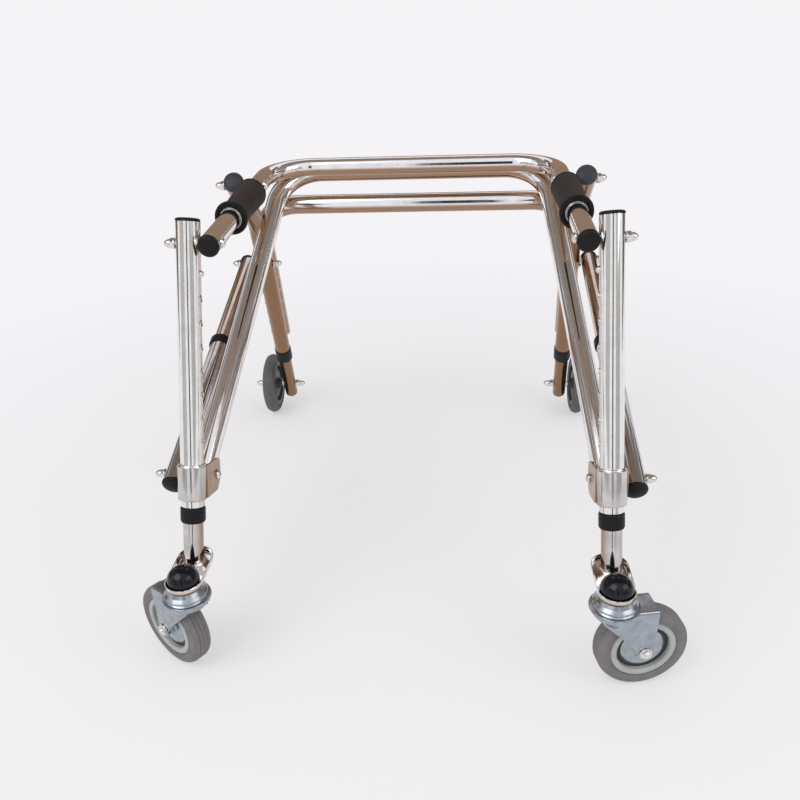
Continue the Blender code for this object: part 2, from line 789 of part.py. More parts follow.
def brace_stub(word, side):
    """Inboard half of the brace's upper bolt, fixed through the rear leg."""
    place = leg_point(side, BRACE_TOP_BELOW_KNEE)
    flank = FRAME_RADIUS / math.cos(LEG_SPLAY)
    nut = flank + 2 * GAP
    end = FRAME_RADIUS + BRACE_TOP_SPACER - GAP
    washer = flank + 2 * GAP
    profile = [(0, end), (NUT_RADIUS, end), (NUT_RADIUS, washer), (BOLT_RADIUS, washer)]
    profile += [(BOLT_RADIUS, -nut), (NUT_RADIUS, -nut), (NUT_RADIUS, -nut - NUT_HEIGHT)]
    tip = nut + NUT_HEIGHT + NUT_DOME
    profile += [(BOLT_RADIUS, -nut - NUT_HEIGHT), (BOLT_RADIUS, -tip), (0, -tip)]
    matrix = frame_at(place, outboard(side), UP)
    return turned(word + "_brace_stub", profile, matrix, "bolt", BOLT_SIDES)


def rear_cross_frame():
    corners = [cross_point(1, CROSS_LEG_LENGTH), cross_point(1, -CROSS_BAR_ABOVE_KNEE)]
    corners += [cross_point(-1, -CROSS_BAR_ABOVE_KNEE), cross_point(-1, CROSS_LEG_LENGTH)]
    name = "rear_cross_frame"
    obj = bent_tube(name, corners, U_BEND_RADIUS, FRAME_RADIUS, FRAME_BORE, "chrome")
    holes = []
    for word, side in SIDES:
        way = leg_way(side)
        front = square_to(way, Vector((0, -1, 0)))
        inward = square_to(way, -outboard(side))
        face = front * math.cos(CROSS_HOLE_ANGLE) + inward * math.sin(CROSS_HOLE_ANGLE)
        for k in range(CROSS_HOLE_COUNT):
            centre = cross_point(side, CROSS_HOLES_START + k * CROSS_HOLE_PITCH)
            reach = face * (FRAME_RADIUS * 1.5)
            holes.append((centre + face * SLIDE_BORE / 2, centre + reach, BUTTON_HOLE_RADIUS))
    cut(obj, pins(name + "_holes", holes))
    return obj


def build_rear_frame():
    parts = [rear_cross_frame()]
    for word, side in SIDES:
        makers = (rear_leg_tube, rear_leg_plug, rear_bush, brace_stub)
        parts += [make(word, side) for make in makers]
    return parts


# Telescopic legs with their snap buttons


def snap_button(name, centre, out, down_way):
    """Button on a spring leaf inside the leg, standing proud of the outer tube."""
    base = SLIDE_BORE - BUTTON_LEAF_THICKNESS - BUTTON_RADIUS * 0.3
    tip = FRAME_RADIUS + BUTTON_PROUD
    rim = tip - BUTTON_RADIUS * 0.6
    profile = dome(BUTTON_RADIUS, tip - rim, rim, 3)
    profile += [(BUTTON_RADIUS, base), (0, base)]
    obj = turned(name, profile, frame_at(centre, out, down_way), "bolt", BOLT_SIDES)
    size = (BUTTON_LEAF_LENGTH, BUTTON_LEAF_WIDTH, BUTTON_LEAF_THICKNESS)
    along = BUTTON_LEAF_LENGTH / 2 - BUTTON_RADIUS
    middle = centre + out * (base + BUTTON_LEAF_THICKNESS / 2) + down_way * along
    weld_on(obj, block(name + "_leaf", size, frame_at(middle, out, down_way), "bolt"))
    return obj


def front_inner_leg(word, side):
    """Lower front leg with the tray and the upper ball race welded to its foot."""
    name = word + "_front_inner_leg"
    top = post_point(side, FRONT_LEG_TOP_DOWN)
    past = post_point(side, front_leg_foot_down() + SLIDE_TUBE)
    obj = straight_tube(name, top, past, SLIDE_RADIUS, SLIDE_BORE, "chrome")
    inward = square_to(post_way(side), -outboard(side))
    centre = post_point(side, FRONT_BUTTON_DOWN)
    hole = [(centre, centre + inward * SLIDE_RADIUS * 1.5, BUTTON_HOLE_RADIUS)]
    cut(obj, pins(name + "_hole", hole))
    floor = tray_height() + TRAY_FLOOR / 2
    foot = post_point(side, front_leg_foot_down())
    deep = SLIDE_TUBE * 4
    below = Matrix.Translation((foot.x, foot.y, floor - deep / 2))
    cut(obj, block(name + "_trim", (deep, deep, deep), below, "chrome"))
    weld_on(obj, caster_tray(name, side))
    return obj


def caster_tray(name, side):
    """Oblong tray with a raised rim, its upper ball race and the kingpin hole."""
    foot = post_point(side, front_leg_foot_down())
    swivel = swivel_place(side)
    height = TRAY_FLOOR + TRAY_RIM
    low = Vector((swivel.x, swivel.y, tray_height() + height / 2))
    rear = Vector((swivel.x, foot.y, low.z))
    obj = round_ended_plate(name + "_tray", low, rear, TRAY_RADIUS, height, UP, "zinc")
    inner = TRAY_RADIUS - TRAY_WALL
    lift = UP * TRAY_FLOOR
    pocket = round_ended_plate(name + "_pocket", low + lift, rear + lift, inner, height, UP, "zinc")
    cut(obj, pocket)
    profile = [(0, UPPER_RACE_HEIGHT + TRAY_FLOOR / 2)]
    profile += [(UPPER_RACE_RADIUS * 0.70, UPPER_RACE_HEIGHT + TRAY_FLOOR / 2)]
    profile += [(UPPER_RACE_RADIUS * 0.86, UPPER_RACE_HEIGHT * 0.75)]
    profile += [(UPPER_RACE_RADIUS, UPPER_RACE_HEIGHT * 0.30), (UPPER_RACE_RADIUS, 0), (0, 0)]
    base = Vector((swivel.x, swivel.y, tray_height() - UPPER_RACE_HEIGHT))
    race = turned(name + "_race", profile, frame_at(base, UP, outboard(1)), "zinc")
    weld_on(obj, race)
    top = base + UP * (UPPER_RACE_HEIGHT + height)
    hole = [(base - UP * height, top, KINGPIN_RADIUS + BOLT_CLEARANCE)]
    cut(obj, pins(name + "_kingpin_hole", hole, BOLT_SIDES))
    return obj


def front_button(word, side):
    inward = square_to(post_way(side), -outboard(side))
    centre = post_point(side, FRONT_BUTTON_DOWN)
    return snap_button(word + "_front_button", centre, inward, post_way(side))


def caster_cover(word, side):
    """Domed cover that stands on the tray's floor, inside its rim, over the kingpin."""
    base = tray_height() + TRAY_FLOOR + GAP
    inner = COVER_RADIUS - COVER_WALL
    profile = dome(COVER_RADIUS, COVER_DOME, TRAY_RIM, 4)
    profile += [(COVER_RADIUS, 0), (inner, 0)]
    hollow = dome(inner, COVER_DOME - COVER_WALL, TRAY_RIM, 3)
    profile += list(reversed(hollow))
    place = swivel_place(side) + UP * base
    return turned(word + "_caster_cover", profile, frame_at(place, UP, outboard(1)), "gloss_black")


def rear_inner_leg(word, side):
    name = word + "_rear_inner_leg"
    top = leg_point(side, REAR_LEG_TOP_DOWN)
    end = leg_point(side, axle_down() + REAR_INNER_BELOW_AXLE)
    obj = straight_tube(name, top, end, SLIDE_RADIUS, SLIDE_BORE, "chrome")
    outward = square_to(leg_way(side), outboard(side))
    centre = leg_point(side, REAR_BUTTON_DOWN)
    hole = [(centre, centre + outward * SLIDE_RADIUS * 1.5, BUTTON_HOLE_RADIUS)]
    cut(obj, pins(name + "_button_hole", hole))
    axle = leg_point(side, axle_down())
    across = outboard(side) * SLIDE_RADIUS * 1.5
    hole = [(axle - across, axle + across, AXLE_RADIUS + BOLT_CLEARANCE)]
    cut(obj, pins(name + "_axle_hole", hole, BOLT_SIDES))
    return obj


def rear_button(word, side):
    outward = square_to(leg_way(side), outboard(side))
    centre = leg_point(side, REAR_BUTTON_DOWN)
    return snap_button(word + "_rear_button", centre, outward, leg_way(side))


# Wheels


def tyre(name, centre, axis, wheel_radius, hub_radius, width, crown):
    """Tyre with a flat tread and rounded shoulders, one flat of it on the floor."""
    outer = wheel_radius / math.cos(math.pi / WHEEL_SIDES)
    half = width / 2
    bore = hub_radius + GAP
    side_wall = half - crown * 0.3
    profile = [(bore, side_wall), (outer - crown * 1.6, half), (outer - crown * 0.5, half - crown * 0.5)]
    profile += [(outer, half - crown * 1.4)]
    profile += [(r, -z) for r, z in reversed(profile)]
    matrix = frame_at(centre, axis, UP)
    matrix = matrix @ Matrix.Rotation(math.pi / WHEEL_SIDES, 4, "Z")
    return turned(name, profile, matrix, "tyre", WHEEL_SIDES, ring=True)


def hub(name, centre, axis, radius, rim, guard, rim_width, boss_width):
    """Hub with a rim, a sunk web, a raised guard disc and a boss round the bore."""
    bore = AXLE_RADIUS + HUB_CLEARANCE
    half = rim_width / 2
    inner = radius - rim
    web = half * 0.30
    disc = half * 0.72
    profile = [(bore, boss_width / 2), (HUB_BOSS_RADIUS, boss_width / 2), (HUB_BOSS_RADIUS, disc)]
    profile += [(guard, disc), (guard, web), (inner, web), (inner, half), (radius, half)]
    profile += [(r, -z) for r, z in reversed(profile)]
    return turned(name, profile, frame_at(centre, axis, UP), "hub", HUB_SIDES, ring=True)


def caster_turn(side):
    return LEFT_CASTER_TURN if side > 0 else RIGHT_CASTER_TURN


def caster_ways(side):
    """Level directions in which the caster trails and along which its axle lies."""
    turn = caster_turn(side)
    trail = Vector((math.cos(turn), math.sin(turn), 0))
    return trail, UP.cross(trail)


def caster_axle_place(side):
    trail, across = caster_ways(side)
    return swivel_place(side) + trail * CASTER_TRAIL + UP * FRONT_WHEEL_RADIUS


def fork_inner_half():
    return FRONT_TYRE_WIDTH / 2 + HUB_BOSS_PROUD + FORK_SIDE_CLEARANCE


def caster_fork(word, side):
    """Fork with its crown, lower ball race, kingpin and kingpin nut."""
    name = word + "_caster_fork"
    trail, across = caster_ways(side)
    swivel = swivel_place(side)
    crown_low = 2 * FRONT_WHEEL_RADIUS + FORK_OVER_WHEEL
    race_top = crown_low + LOWER_RACE_HEIGHT
    floor_top = tray_height() + TRAY_FLOOR
    nut_low = floor_top + GAP
    nut_top = nut_low + KINGPIN_NUT_HEIGHT
    profile = [(0, nut_top), (KINGPIN_NUT_RADIUS, nut_top), (KINGPIN_NUT_RADIUS, nut_low)]
    profile += [(KINGPIN_RADIUS, nut_low), (KINGPIN_RADIUS, race_top)]
    bevel = LOWER_RACE_HEIGHT * 0.3
    profile += [(FORK_CROWN_RADIUS - bevel, race_top), (FORK_CROWN_RADIUS, race_top - bevel)]
    profile += [(FORK_CROWN_RADIUS, crown_low + bevel), (FORK_CROWN_RADIUS - bevel, crown_low)]
    profile += [(0, crown_low)]
    obj = turned(name, profile, frame_at(swivel, UP, trail), "zinc")
    middle = fork_inner_half() + FORK_THICKNESS / 2
    length = CASTER_TRAIL + FORK_FOOT_RADIUS
    size = (length, 2 * fork_inner_half() + FORK_THICKNESS, FORK_THICKNESS)
    plate_centre = swivel + trail * length / 2 + UP * (crown_low + FORK_THICKNESS / 2)
    weld_on(obj, block(name + "_bridge", size, frame_at(plate_centre, UP, trail), "zinc"))
    axle = caster_axle_place(side)
    for word_end, sign in (("near", -1), ("far", 1)):
        weld_on(obj, fork_cheek(name + "_" + word_end, swivel + across * sign * middle, trail))
    reach = across * FORK_CROWN_RADIUS * 1.2
    hole = [(axle - reach, axle + reach, AXLE_RADIUS + BOLT_CLEARANCE)]
    cut(obj, pins(name + "_axle_hole", hole, BOLT_SIDES))
    return obj


def fork_cheek(name, place, trail):
    """Side plate of the fork: wide under the crown, narrow and round at the axle."""
    top = 2 * FRONT_WHEEL_RADIUS + FORK_OVER_WHEEL + FORK_THICKNESS
    nose = (-FORK_NOSE, top - FORK_NOSE_DEPTH)
    axle = (CASTER_TRAIL, FRONT_WHEEL_RADIUS)
    slant = math.atan2(nose[1] - axle[1], nose[0] - axle[0])
    reach = math.hypot(nose[0] - axle[0], nose[1] - axle[1])
    first = slant + math.acos(FORK_FOOT_RADIUS / reach)
    foot = arc(axle[0], FORK_FOOT_RADIUS, first, 2 * math.pi, ARC_STEPS)
    outline = [(x, axle[1] + y) for x, y in foot]
    outline += [(CASTER_TRAIL + FORK_FOOT_RADIUS, top), (-FORK_NOSE, top), nose]
    matrix = frame_at(place, trail.cross(UP), trail)
    return flat_plate(name, outline, FORK_THICKNESS, matrix, "zinc")


def caster_axle(word, side):
    """Axle bolt through the fork, with a hexagon-sized head and nut."""
    trail, across = caster_ways(side)
    grip = 2 * (fork_inner_half() + FORK_THICKNESS + GAP)
    nut = NUT_RADIUS * 1.25
    head = BOLT_HEAD_HEIGHT * 1.3
    profile = [(0, grip + head), (AXLE_RADIUS, grip + head), (nut, grip + head * 0.85), (nut, grip)]
    profile += [(AXLE_RADIUS, grip), (AXLE_RADIUS, 0), (nut, 0), (nut, -head * 0.8)]
    profile += [(nut * 0.7, -head), (0, -head)]
    start = caster_axle_place(side) - across * grip / 2
    return turned(word + "_caster_axle", profile, frame_at(start, across, UP), "bolt", BOLT_SIDES)


def caster_tyre(word, side):
    trail, across = caster_ways(side)
    return tyre(
        word + "_caster_tyre", caster_axle_place(side), across, FRONT_WHEEL_RADIUS,
        FRONT_HUB_RADIUS, FRONT_TYRE_WIDTH, FRONT_TYRE_WIDTH * 0.14,
    )


def caster_hub(word, side):
    trail, across = caster_ways(side)
    rim_width = FRONT_TYRE_WIDTH * 0.92
    boss_width = FRONT_TYRE_WIDTH + 2 * HUB_BOSS_PROUD
    return hub(
        word + "_caster_hub", caster_axle_place(side), across, FRONT_HUB_RADIUS,
        FRONT_HUB_RIM, FRONT_GUARD_RADIUS, rim_width, boss_width,
    )


def rear_wheel_centre(side):
    axle = leg_point(side, axle_down())
    beside = SLIDE_RADIUS / math.cos(LEG_SPLAY) + REAR_WHEEL_SPACER + REAR_HUB_WIDTH / 2
    return axle + outboard(side) * beside


def rear_tyre(word, side):
    return tyre(
        word + "_rear_tyre", rear_wheel_centre(side), outboard(side), REAR_WHEEL_RADIUS,
        REAR_HUB_RADIUS, REAR_TYRE_WIDTH, REAR_TYRE_WIDTH * 0.26,
    )


def rear_hub(word, side):
    rim_width = REAR_TYRE_WIDTH * 0.92
    return hub(
        word + "_rear_hub", rear_wheel_centre(side), outboard(side), REAR_HUB_RADIUS,
        REAR_HUB_RIM, REAR_GUARD_RADIUS, rim_width, REAR_HUB_WIDTH,
    )


def rear_axle(word, side):
    """Axle bolt with a spacer between leg and hub and a cap nut at each end."""
    axle = leg_point(side, axle_down())
    wheel = rear_wheel_centre(side)
    flank = SLIDE_RADIUS / math.cos(LEG_SPLAY) + 2 * GAP
    far = abs(wheel.x - axle.x) + REAR_HUB_WIDTH / 2 + WHEEL_SIDE_CLEARANCE
    near = far - REAR_HUB_WIDTH - 2 * WHEEL_SIDE_CLEARANCE
    nut = AXLE_NUT_RADIUS
    height = AXLE_NUT_HEIGHT
    cap = dome(nut * 0.8, AXLE_NUT_DOME, height, 3)
    profile = [(r, far + z) for r, z in cap]
    profile += [(nut, far + height), (nut, far), (AXLE_RADIUS, far), (AXLE_RADIUS, near)]
    profile += [(nut, near), (nut, flank), (AXLE_RADIUS, flank), (AXLE_RADIUS, -flank)]
    profile += [(nut, -flank), (nut, -flank - height)]
    profile += [(r, -flank - z) for r, z in reversed(cap)]
    matrix = frame_at(axle, outboard(side), UP)
    return turned(word + "_rear_axle", profile, matrix, "bolt", BOLT_SIDES)


# Telescopic braces


def brace_sleeve(word, side):
    """Lower brace tube with a collar at its mouth."""
    name = word + "_brace_sleeve"
    foot = brace_foot(side)
    mouth = BRACE_SLEEVE_LENGTH
    low = mouth - BRACE_COLLAR_LENGTH
    collar = FRAME_RADIUS + BRACE_COLLAR_WALL
    profile = [(collar, mouth), (collar, low), (FRAME_RADIUS, low)]
    profile += [(FRAME_RADIUS, -BRACE_TOE), (FRAME_BORE, -BRACE_TOE), (FRAME_BORE, mouth)]
    matrix = frame_at(foot, brace_way(side), UP)
    obj = turned(name, profile, matrix, "chrome", ring=True)
    across = outboard(side) * FRAME_RADIUS * 1.5
    cut(obj, pins(name + "_hole", [(foot - across, foot + across, BOLT_HOLE_RADIUS)]))
    return obj


def brace_plug(word, side):
    way = brace_way(side)
    end = brace_foot(side) - way * BRACE_TOE
    return plug(word + "_brace_plug", end, -way, FRAME_RADIUS, FRAME_BORE, "black")


def brace_rod(word, side):
    """Upper brace tube with a domed end and the outboard half of its bolt."""
    name = word + "_brace_rod"
    top = brace_top(side)
    way = brace_way(side)
    reach = (top - brace_foot(side)).length
    low = BRACE_SLEEVE_LENGTH - BRACE_INSERTED - reach
    profile = dome(SLIDE_RADIUS, PLUG_DOME, BRACE_ROD_TOE, 4)
    profile += [(SLIDE_RADIUS, low), (SLIDE_BORE, low)]
    profile += [(SLIDE_BORE, BRACE_ROD_TOE - PLUG_SPIGOT), (0, BRACE_ROD_TOE - PLUG_SPIGOT)]
    obj = turned(name, profile, frame_at(top, way, UP), "chrome")
    face = SLIDE_RADIUS - SLIDE_WALL / 2
    nut = SLIDE_RADIUS + NUT_HEIGHT
    half_bolt = dome(NUT_RADIUS * 0.8, NUT_DOME, nut, 3)
    half_bolt += [(NUT_RADIUS, nut), (NUT_RADIUS, face), (0, face)]
    matrix = frame_at(top, outboard(side), UP)
    weld_on(obj, turned(name + "_nut", half_bolt, matrix, "bolt", BOLT_SIDES))
    return obj


# Bodies: each moving group hangs on an empty that sits on its joint's axis


def hang(name, place, parts):
    empty = bpy.data.objects.new(name, None)
    PART.objects.link(empty)
    empty.location = place
    for obj in parts:
        obj.parent = empty
        obj.matrix_parent_inverse = Matrix.Translation(-place)
    return empty


def build_moving_parts():
    fold = (pivot_point(1) + pivot_point(-1)) / 2
    hang("rear_fold_axis", fold, build_rear_frame())
    for word, side in SIDES:
        hang(word + "_front_leg_axis", post_point(side, FRONT_LEG_TOP_DOWN),
             [front_inner_leg(word, side), caster_cover(word, side)])
        hang(word + "_front_button_axis", post_point(side, FRONT_BUTTON_DOWN),
             [front_button(word, side)])
        hang(word + "_swivel_axis", swivel_place(side),
             [caster_fork(word, side), caster_axle(word, side)])
        hang(word + "_caster_wheel_axis", caster_axle_place(side),
             [caster_tyre(word, side), caster_hub(word, side)])
        hang(word + "_rear_leg_axis", leg_point(side, REAR_LEG_TOP_DOWN),
             [rear_inner_leg(word, side), rear_axle(word, side)])
        hang(word + "_rear_button_axis", leg_point(side, REAR_BUTTON_DOWN),
             [rear_button(word, side)])
        hang(word + "_rear_wheel_axis", rear_wheel_centre(side),
             [rear_tyre(word, side), rear_hub(word, side)])
        hang(word + "_brace_foot_axis", brace_foot(side),
             [brace_sleeve(word, side), brace_plug(word, side)])
        hang(word + "_brace_top_axis", brace_top(side), [brace_rod(word, side)])


clear_scene()
PART = new_collection("pediatric_walker")
HELPERS = new_collection("cutters")
build_fixed_frame()
build_moving_parts()
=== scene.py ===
"""Looks of the folding pediatric walker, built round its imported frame. Metres, +Z up.

Profiles are (radius, height) pairs, and a third number is the size of a rounded corner."""

import json
from math import cos, hypot, pi, radians, sin, sqrt, tan

import bpy
from mathutils import Matrix, Vector


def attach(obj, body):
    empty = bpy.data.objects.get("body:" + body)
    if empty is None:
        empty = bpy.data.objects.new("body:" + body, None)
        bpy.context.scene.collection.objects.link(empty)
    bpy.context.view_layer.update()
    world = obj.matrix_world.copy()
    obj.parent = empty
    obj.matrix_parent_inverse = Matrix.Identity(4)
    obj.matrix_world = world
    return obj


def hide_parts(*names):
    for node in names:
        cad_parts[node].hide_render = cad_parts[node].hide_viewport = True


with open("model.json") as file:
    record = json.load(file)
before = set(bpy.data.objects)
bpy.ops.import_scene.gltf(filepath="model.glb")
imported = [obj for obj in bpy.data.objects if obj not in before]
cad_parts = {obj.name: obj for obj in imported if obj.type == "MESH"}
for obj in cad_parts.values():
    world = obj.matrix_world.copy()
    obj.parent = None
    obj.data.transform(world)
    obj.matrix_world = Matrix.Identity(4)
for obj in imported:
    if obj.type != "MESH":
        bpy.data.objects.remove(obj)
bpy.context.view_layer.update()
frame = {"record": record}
BODY_OF = {n: b for b, ns in frame["record"]["behaviour"]["bodies"].items() for n in ns}

# Sizes as in the CAD model
GAP = 0.0003
SLIDE_RADIUS = 0.0111
SLIDE_BORE = 0.0096
FRAME_BORE = 0.0114
FRAME_RADIUS = 0.0127
U_BEND_RADIUS = 0.06
KNEE_BEND_RADIUS = 0.07
POST_TOP_HEIGHT = 0.4711
ORIGIN_BEHIND_POSTS = 0.1986
POST_LEAN = radians(17.15)
POST_SPLAY = radians(2.93)
POST_FOOT_HEIGHT = 0.182
POST_BOLT_DOWN = 0.0215
FRONT_BUSH_LENGTH = 0.018
FRONT_BUSH_LIP = 0.0011
HOLE_PITCH = 0.0254
HOLE_COUNT = 8
SETTINGS = 7
HOLE_RADIUS = 0.0035
FRONT_BUTTON_DOWN = 0.052
FRONT_LEG_TOP_DOWN = 0.037
RAIL_HALF_WIDTH = 0.19
RAIL_RISE = radians(4.0)
RAIL_TOE = 0.009
RAIL_REACH = 0.313
PLUG_DOME = 0.0055
PLUG_SPIGOT = 0.0045
PLUG_LIP = 0.0005
GRIP_START = 0.0825
GRIP_LENGTH = 0.106
GRIP_WAIST = 0.0024
GRIP_FLANGE_RADIUS = 0.0188
GRIP_FAR_FLANGE_RADIUS = 0.0178
DIAGONAL_BAR_ANGLE = radians(-24.2)
DIAGONAL_BAR_GAP = 0.0009
DIAGONAL_TOP_HALF_WIDTH = 0.1795
DIAGONAL_TOE = 0.0105
DIAGONAL_EAR_CLEARANCE = 0.0022
BRACKET_ABOVE_FOOT = 0.0085
BRACKET_LENGTH = 0.038
BRACKET_RADIUS = 0.0159
LOWER_BOLT_IN_BRACKET = 0.019
LOWER_BOLT_BEHIND = 0.0348
EAR_THICKNESS = 0.0022
EAR_REACH = 0.0475
EAR_REAR_DROP = 0.002
EAR_CORNER = 0.013
EAR_INSET = 0.0007
PIVOT_ALONG_RAIL = 0.21
PIVOT_ABOVE_RAIL = 0.0035
LEG_SIDE_GAP = 0.002
LEG_TOE = 0.009
LEG_TOP_STRETCH = 0.1231
LEG_TOP_DROP = radians(34.1)
LEG_TOP_SPLAY = radians(2.2)
LEG_LEAN = radians(32.0)
LEG_SPLAY = radians(4.1)
LEG_TUBE_LENGTH = 0.296
REAR_BUSH_LENGTH = 0.03
REAR_BUSH_LIP = 0.0012
REAR_BUTTON_DOWN = 0.097
REAR_LEG_TOP_DOWN = 0.0895
REAR_INNER_BELOW_AXLE = 0.029
CROSS_BAR_ABOVE_KNEE = 0.0075
CROSS_LEG_LENGTH = 0.281
CROSS_HOLES_START = 0.0742
CROSS_HOLE_PITCH = 0.0292
CROSS_HOLE_COUNT = 6
CROSS_HOLE_ANGLE = radians(38.0)
BRACE_TOP_BELOW_KNEE = 0.0835
BRACE_TOP_SPACER = 0.0024
BRACE_TOE = 0.015
BRACE_SLEEVE_LENGTH = 0.236
BRACE_COLLAR_LENGTH = 0.014
BRACE_INSERTED = 0.056
BRACE_ROD_TOE = 0.0045
BRACE_CAP_LENGTH = 0.003
BRACE_CAP_LIP = 0.0007
BOLT_RADIUS = 0.003
HEAD_RADIUS = 0.0055
HEAD_HEIGHT = 0.0035
NUT_RADIUS = 0.0058
NUT_HEIGHT = 0.005
NUT_DOME = 0.007
AXLE_NUT_RADIUS = 0.0068
AXLE_NUT_HEIGHT = 0.0065
AXLE_NUT_DOME = 0.0105
AXLE_RADIUS = 0.004
FRONT_WHEEL_RADIUS = 0.05
FRONT_TYRE_WIDTH = 0.025
FRONT_HUB_RADIUS = 0.036
REAR_WHEEL_RADIUS = 0.054
REAR_TYRE_WIDTH = 0.022
REAR_HUB_RADIUS = 0.0405
REAR_HUB_RIM = 0.0078
REAR_GUARD_RADIUS = 0.027
REAR_HUB_WIDTH = 0.03
REAR_WHEEL_SPACER = 0.0042
CASTER_LEAD = 0.0425
CASTER_INBOARD = 0.0025
CASTER_TRAIL = 0.034
CASTER_TURN = {1: radians(11.0), -1: radians(144.7)}
CROWN_LOW = 0.103
RACE_TOP = 0.1095
TRAY_LOW = 0.1173
TRAY_FLOOR = 0.0035
TRAY_RIM = 0.0062
FORK_HALF = 0.0169
FORK_THICKNESS = 0.003
FORK_FOOT_RADIUS = 0.0085
FORK_NOSE = 0.017

# Sizes of finer forms, which the CAD model has plainer or not at all
TUBE_EDGE = 0.0003
RIM_BEAD = 0.0008
BRACKET_WELD = 0.0013
TRAY_WELD = 0.0012
RIPPLE = 0.12
RIPPLE_PITCH = 0.0024
BUTTON_RADIUS = 0.0033
BUTTON_PROUD = 0.0036
COVER_RADIUS = 0.0174
COVER_RISE = 0.0172
COVER_WALL = 0.0018
GRIP_LIP = 0.0006
GRIP_WASHER_RADIUS = 0.0121
CROWN_RADIUS = 0.0268
FORK_FOLD = 0.0042
FORK_SHOULDER = 0.09
CHEEK_TOP = 0.096
APRON_WALL = 0.0022
APRON_START = radians(98)
APRON_END = radians(262)
KINGPIN_RADIUS = 0.005
KINGPIN_NUT_RADIUS = 0.0085
CASTER_NUT_RADIUS = 0.0068
WASHER_RADIUS = 0.0072
BOSS_RADIUS = 0.0095
FRONT_CROWN = 0.0042
FRONT_GROOVES = (0.0048, 0.0, -0.0048)
FRONT_HUB_RIM = 0.0068
FRONT_GUARD_RADIUS = 0.0245
FRONT_RIM_WIDTH = 0.023
FRONT_HUB_WIDTH = 0.027
FRONT_RECESS = 0.0062
REAR_CROWN = 0.0062
REAR_RIM_WIDTH = 0.0202
REAR_RECESS = 0.006

# Sizes that follow from the ones above
POST_STRETCH = hypot(tan(POST_SPLAY), tan(POST_LEAN), 1)
POST_LENGTH = (POST_TOP_HEIGHT - POST_FOOT_HEIGHT) * POST_STRETCH
BRACKET_TOP_DOWN = POST_LENGTH - BRACKET_ABOVE_FOOT - BRACKET_LENGTH
LOWER_BOLT_DOWN = BRACKET_TOP_DOWN + LOWER_BOLT_IN_BRACKET

# Fineness of the shown meshes
ROUND = 48
WHEEL_ROUND = 112
HOLE_ROUND = 18
RIM_ROUND = 20
BEND_STEP = radians(5)
SHARP = radians(33)
HOLE_MARGIN = 0.006

# Rings moulded into the tyres
RING_ATTRIBUTE = "ring"
RING_PITCH = 0.0011

# Change of the normal's height over which chrome takes on its painted brown reflection
PAINTED_REFLECTION_SPAN = 0.27

# Camera and backdrop
CAMERA_HEADING = radians(-5.463)
CAMERA_TILT = radians(29.62)
CAMERA_ROLL = radians(2.22)
CAMERA_PLACE = Vector((0.0629, -0.7849 - ORIGIN_BEHIND_POSTS, 0.6465))
CAMERA_LENS = 34.668
CAMERA_SHIFT = (0.00975, 0.06825)
BACKDROP = (0.913, 0.897, 0.922)

UP = Vector((0, 0, 1))
BEHIND = Vector((0, 1, 0))
TURNED_OVER = Matrix.Rotation(pi, 4, "X")
BOTH_FACES = (Matrix.Identity(4), TURNED_OVER)
SIDES = (("left", 1), ("right", -1))


# Mesh building


def any_side(axis):
    """A way that is well off the axis."""
    return UP if abs(axis.normalized().z) < 0.9 else Vector((1, 0, 0))


def square_to(way, toward):
    """The part of toward that is square to a way, at length 1."""
    return (toward - way * toward.dot(way)).normalized()


def frame_at(point, axis, toward=None):
    """Matrix with local Z along axis and local X as near to toward as it can be."""
    z = axis.normalized()
    x = square_to(z, any_side(axis) if toward is None else toward)
    matrix = Matrix((x, z.cross(x), z)).transposed().to_4x4()
    matrix.translation = point
    return matrix


def softened(corners, ring=False, steps=4):
    """Rounds the corners of a 2-D line that carry a third number, their size."""
    line = []
    for i, corner in enumerate(corners):
        here = Vector(corner[:2])
        if len(corner) < 3 or (not ring and i in (0, len(corners) - 1)):
            line.append((here.x, here.y))
            continue
        back = Vector(corners[i - 1][:2]) - here
        ahead = Vector(corners[(i + 1) % len(corners)][:2]) - here
        half = max(back.angle(ahead) / 2, 0.05)
        cut = min(corner[2] / tan(half), back.length * 0.49, ahead.length * 0.49)
        first, last = here + back.normalized() * cut, here + ahead.normalized() * cut
        for k in range(steps + 1):
            t = k / steps
            point = first * (1 - t) ** 2 + here * (2 * t * (1 - t)) + last * t ** 2
            line.append((point.x, point.y))
    return line


def arc(centre, radius, first, last, steps):
    turns = [first + (last - first) * k / steps for k in range(steps + 1)]
    return [(centre[0] + radius * cos(a), centre[1] + radius * sin(a)) for a in turns]


def full_turn(count):
    return [2 * pi * k / count for k in range(count)]


def polar(radius, angle, height=0.0):
    return Vector((radius * cos(angle), radius * sin(angle), height))


def circle(centre, u, v, radius, count):
    return [centre + (u * cos(a) + v * sin(a)) * radius for a in full_turn(count)]


def dome(radius, height, base, steps=12):
    """Profile of a dome, from its tip down to its rim."""
    quarter = [pi / 2 * k / steps for k in range(steps + 1)]
    return [(radius * sin(a), base + height * cos(a)) for a in quarter]


def rod(radius, high, low=0.0):
    """Profile of a plain cylinder."""
    return [(0, high), (radius, high), (radius, low), (0, low)]


def mirrored(profile):
    """The lower half of a profile that is the same above and below."""
    return [(p[0], -p[1], *p[2:]) for p in reversed(profile)]


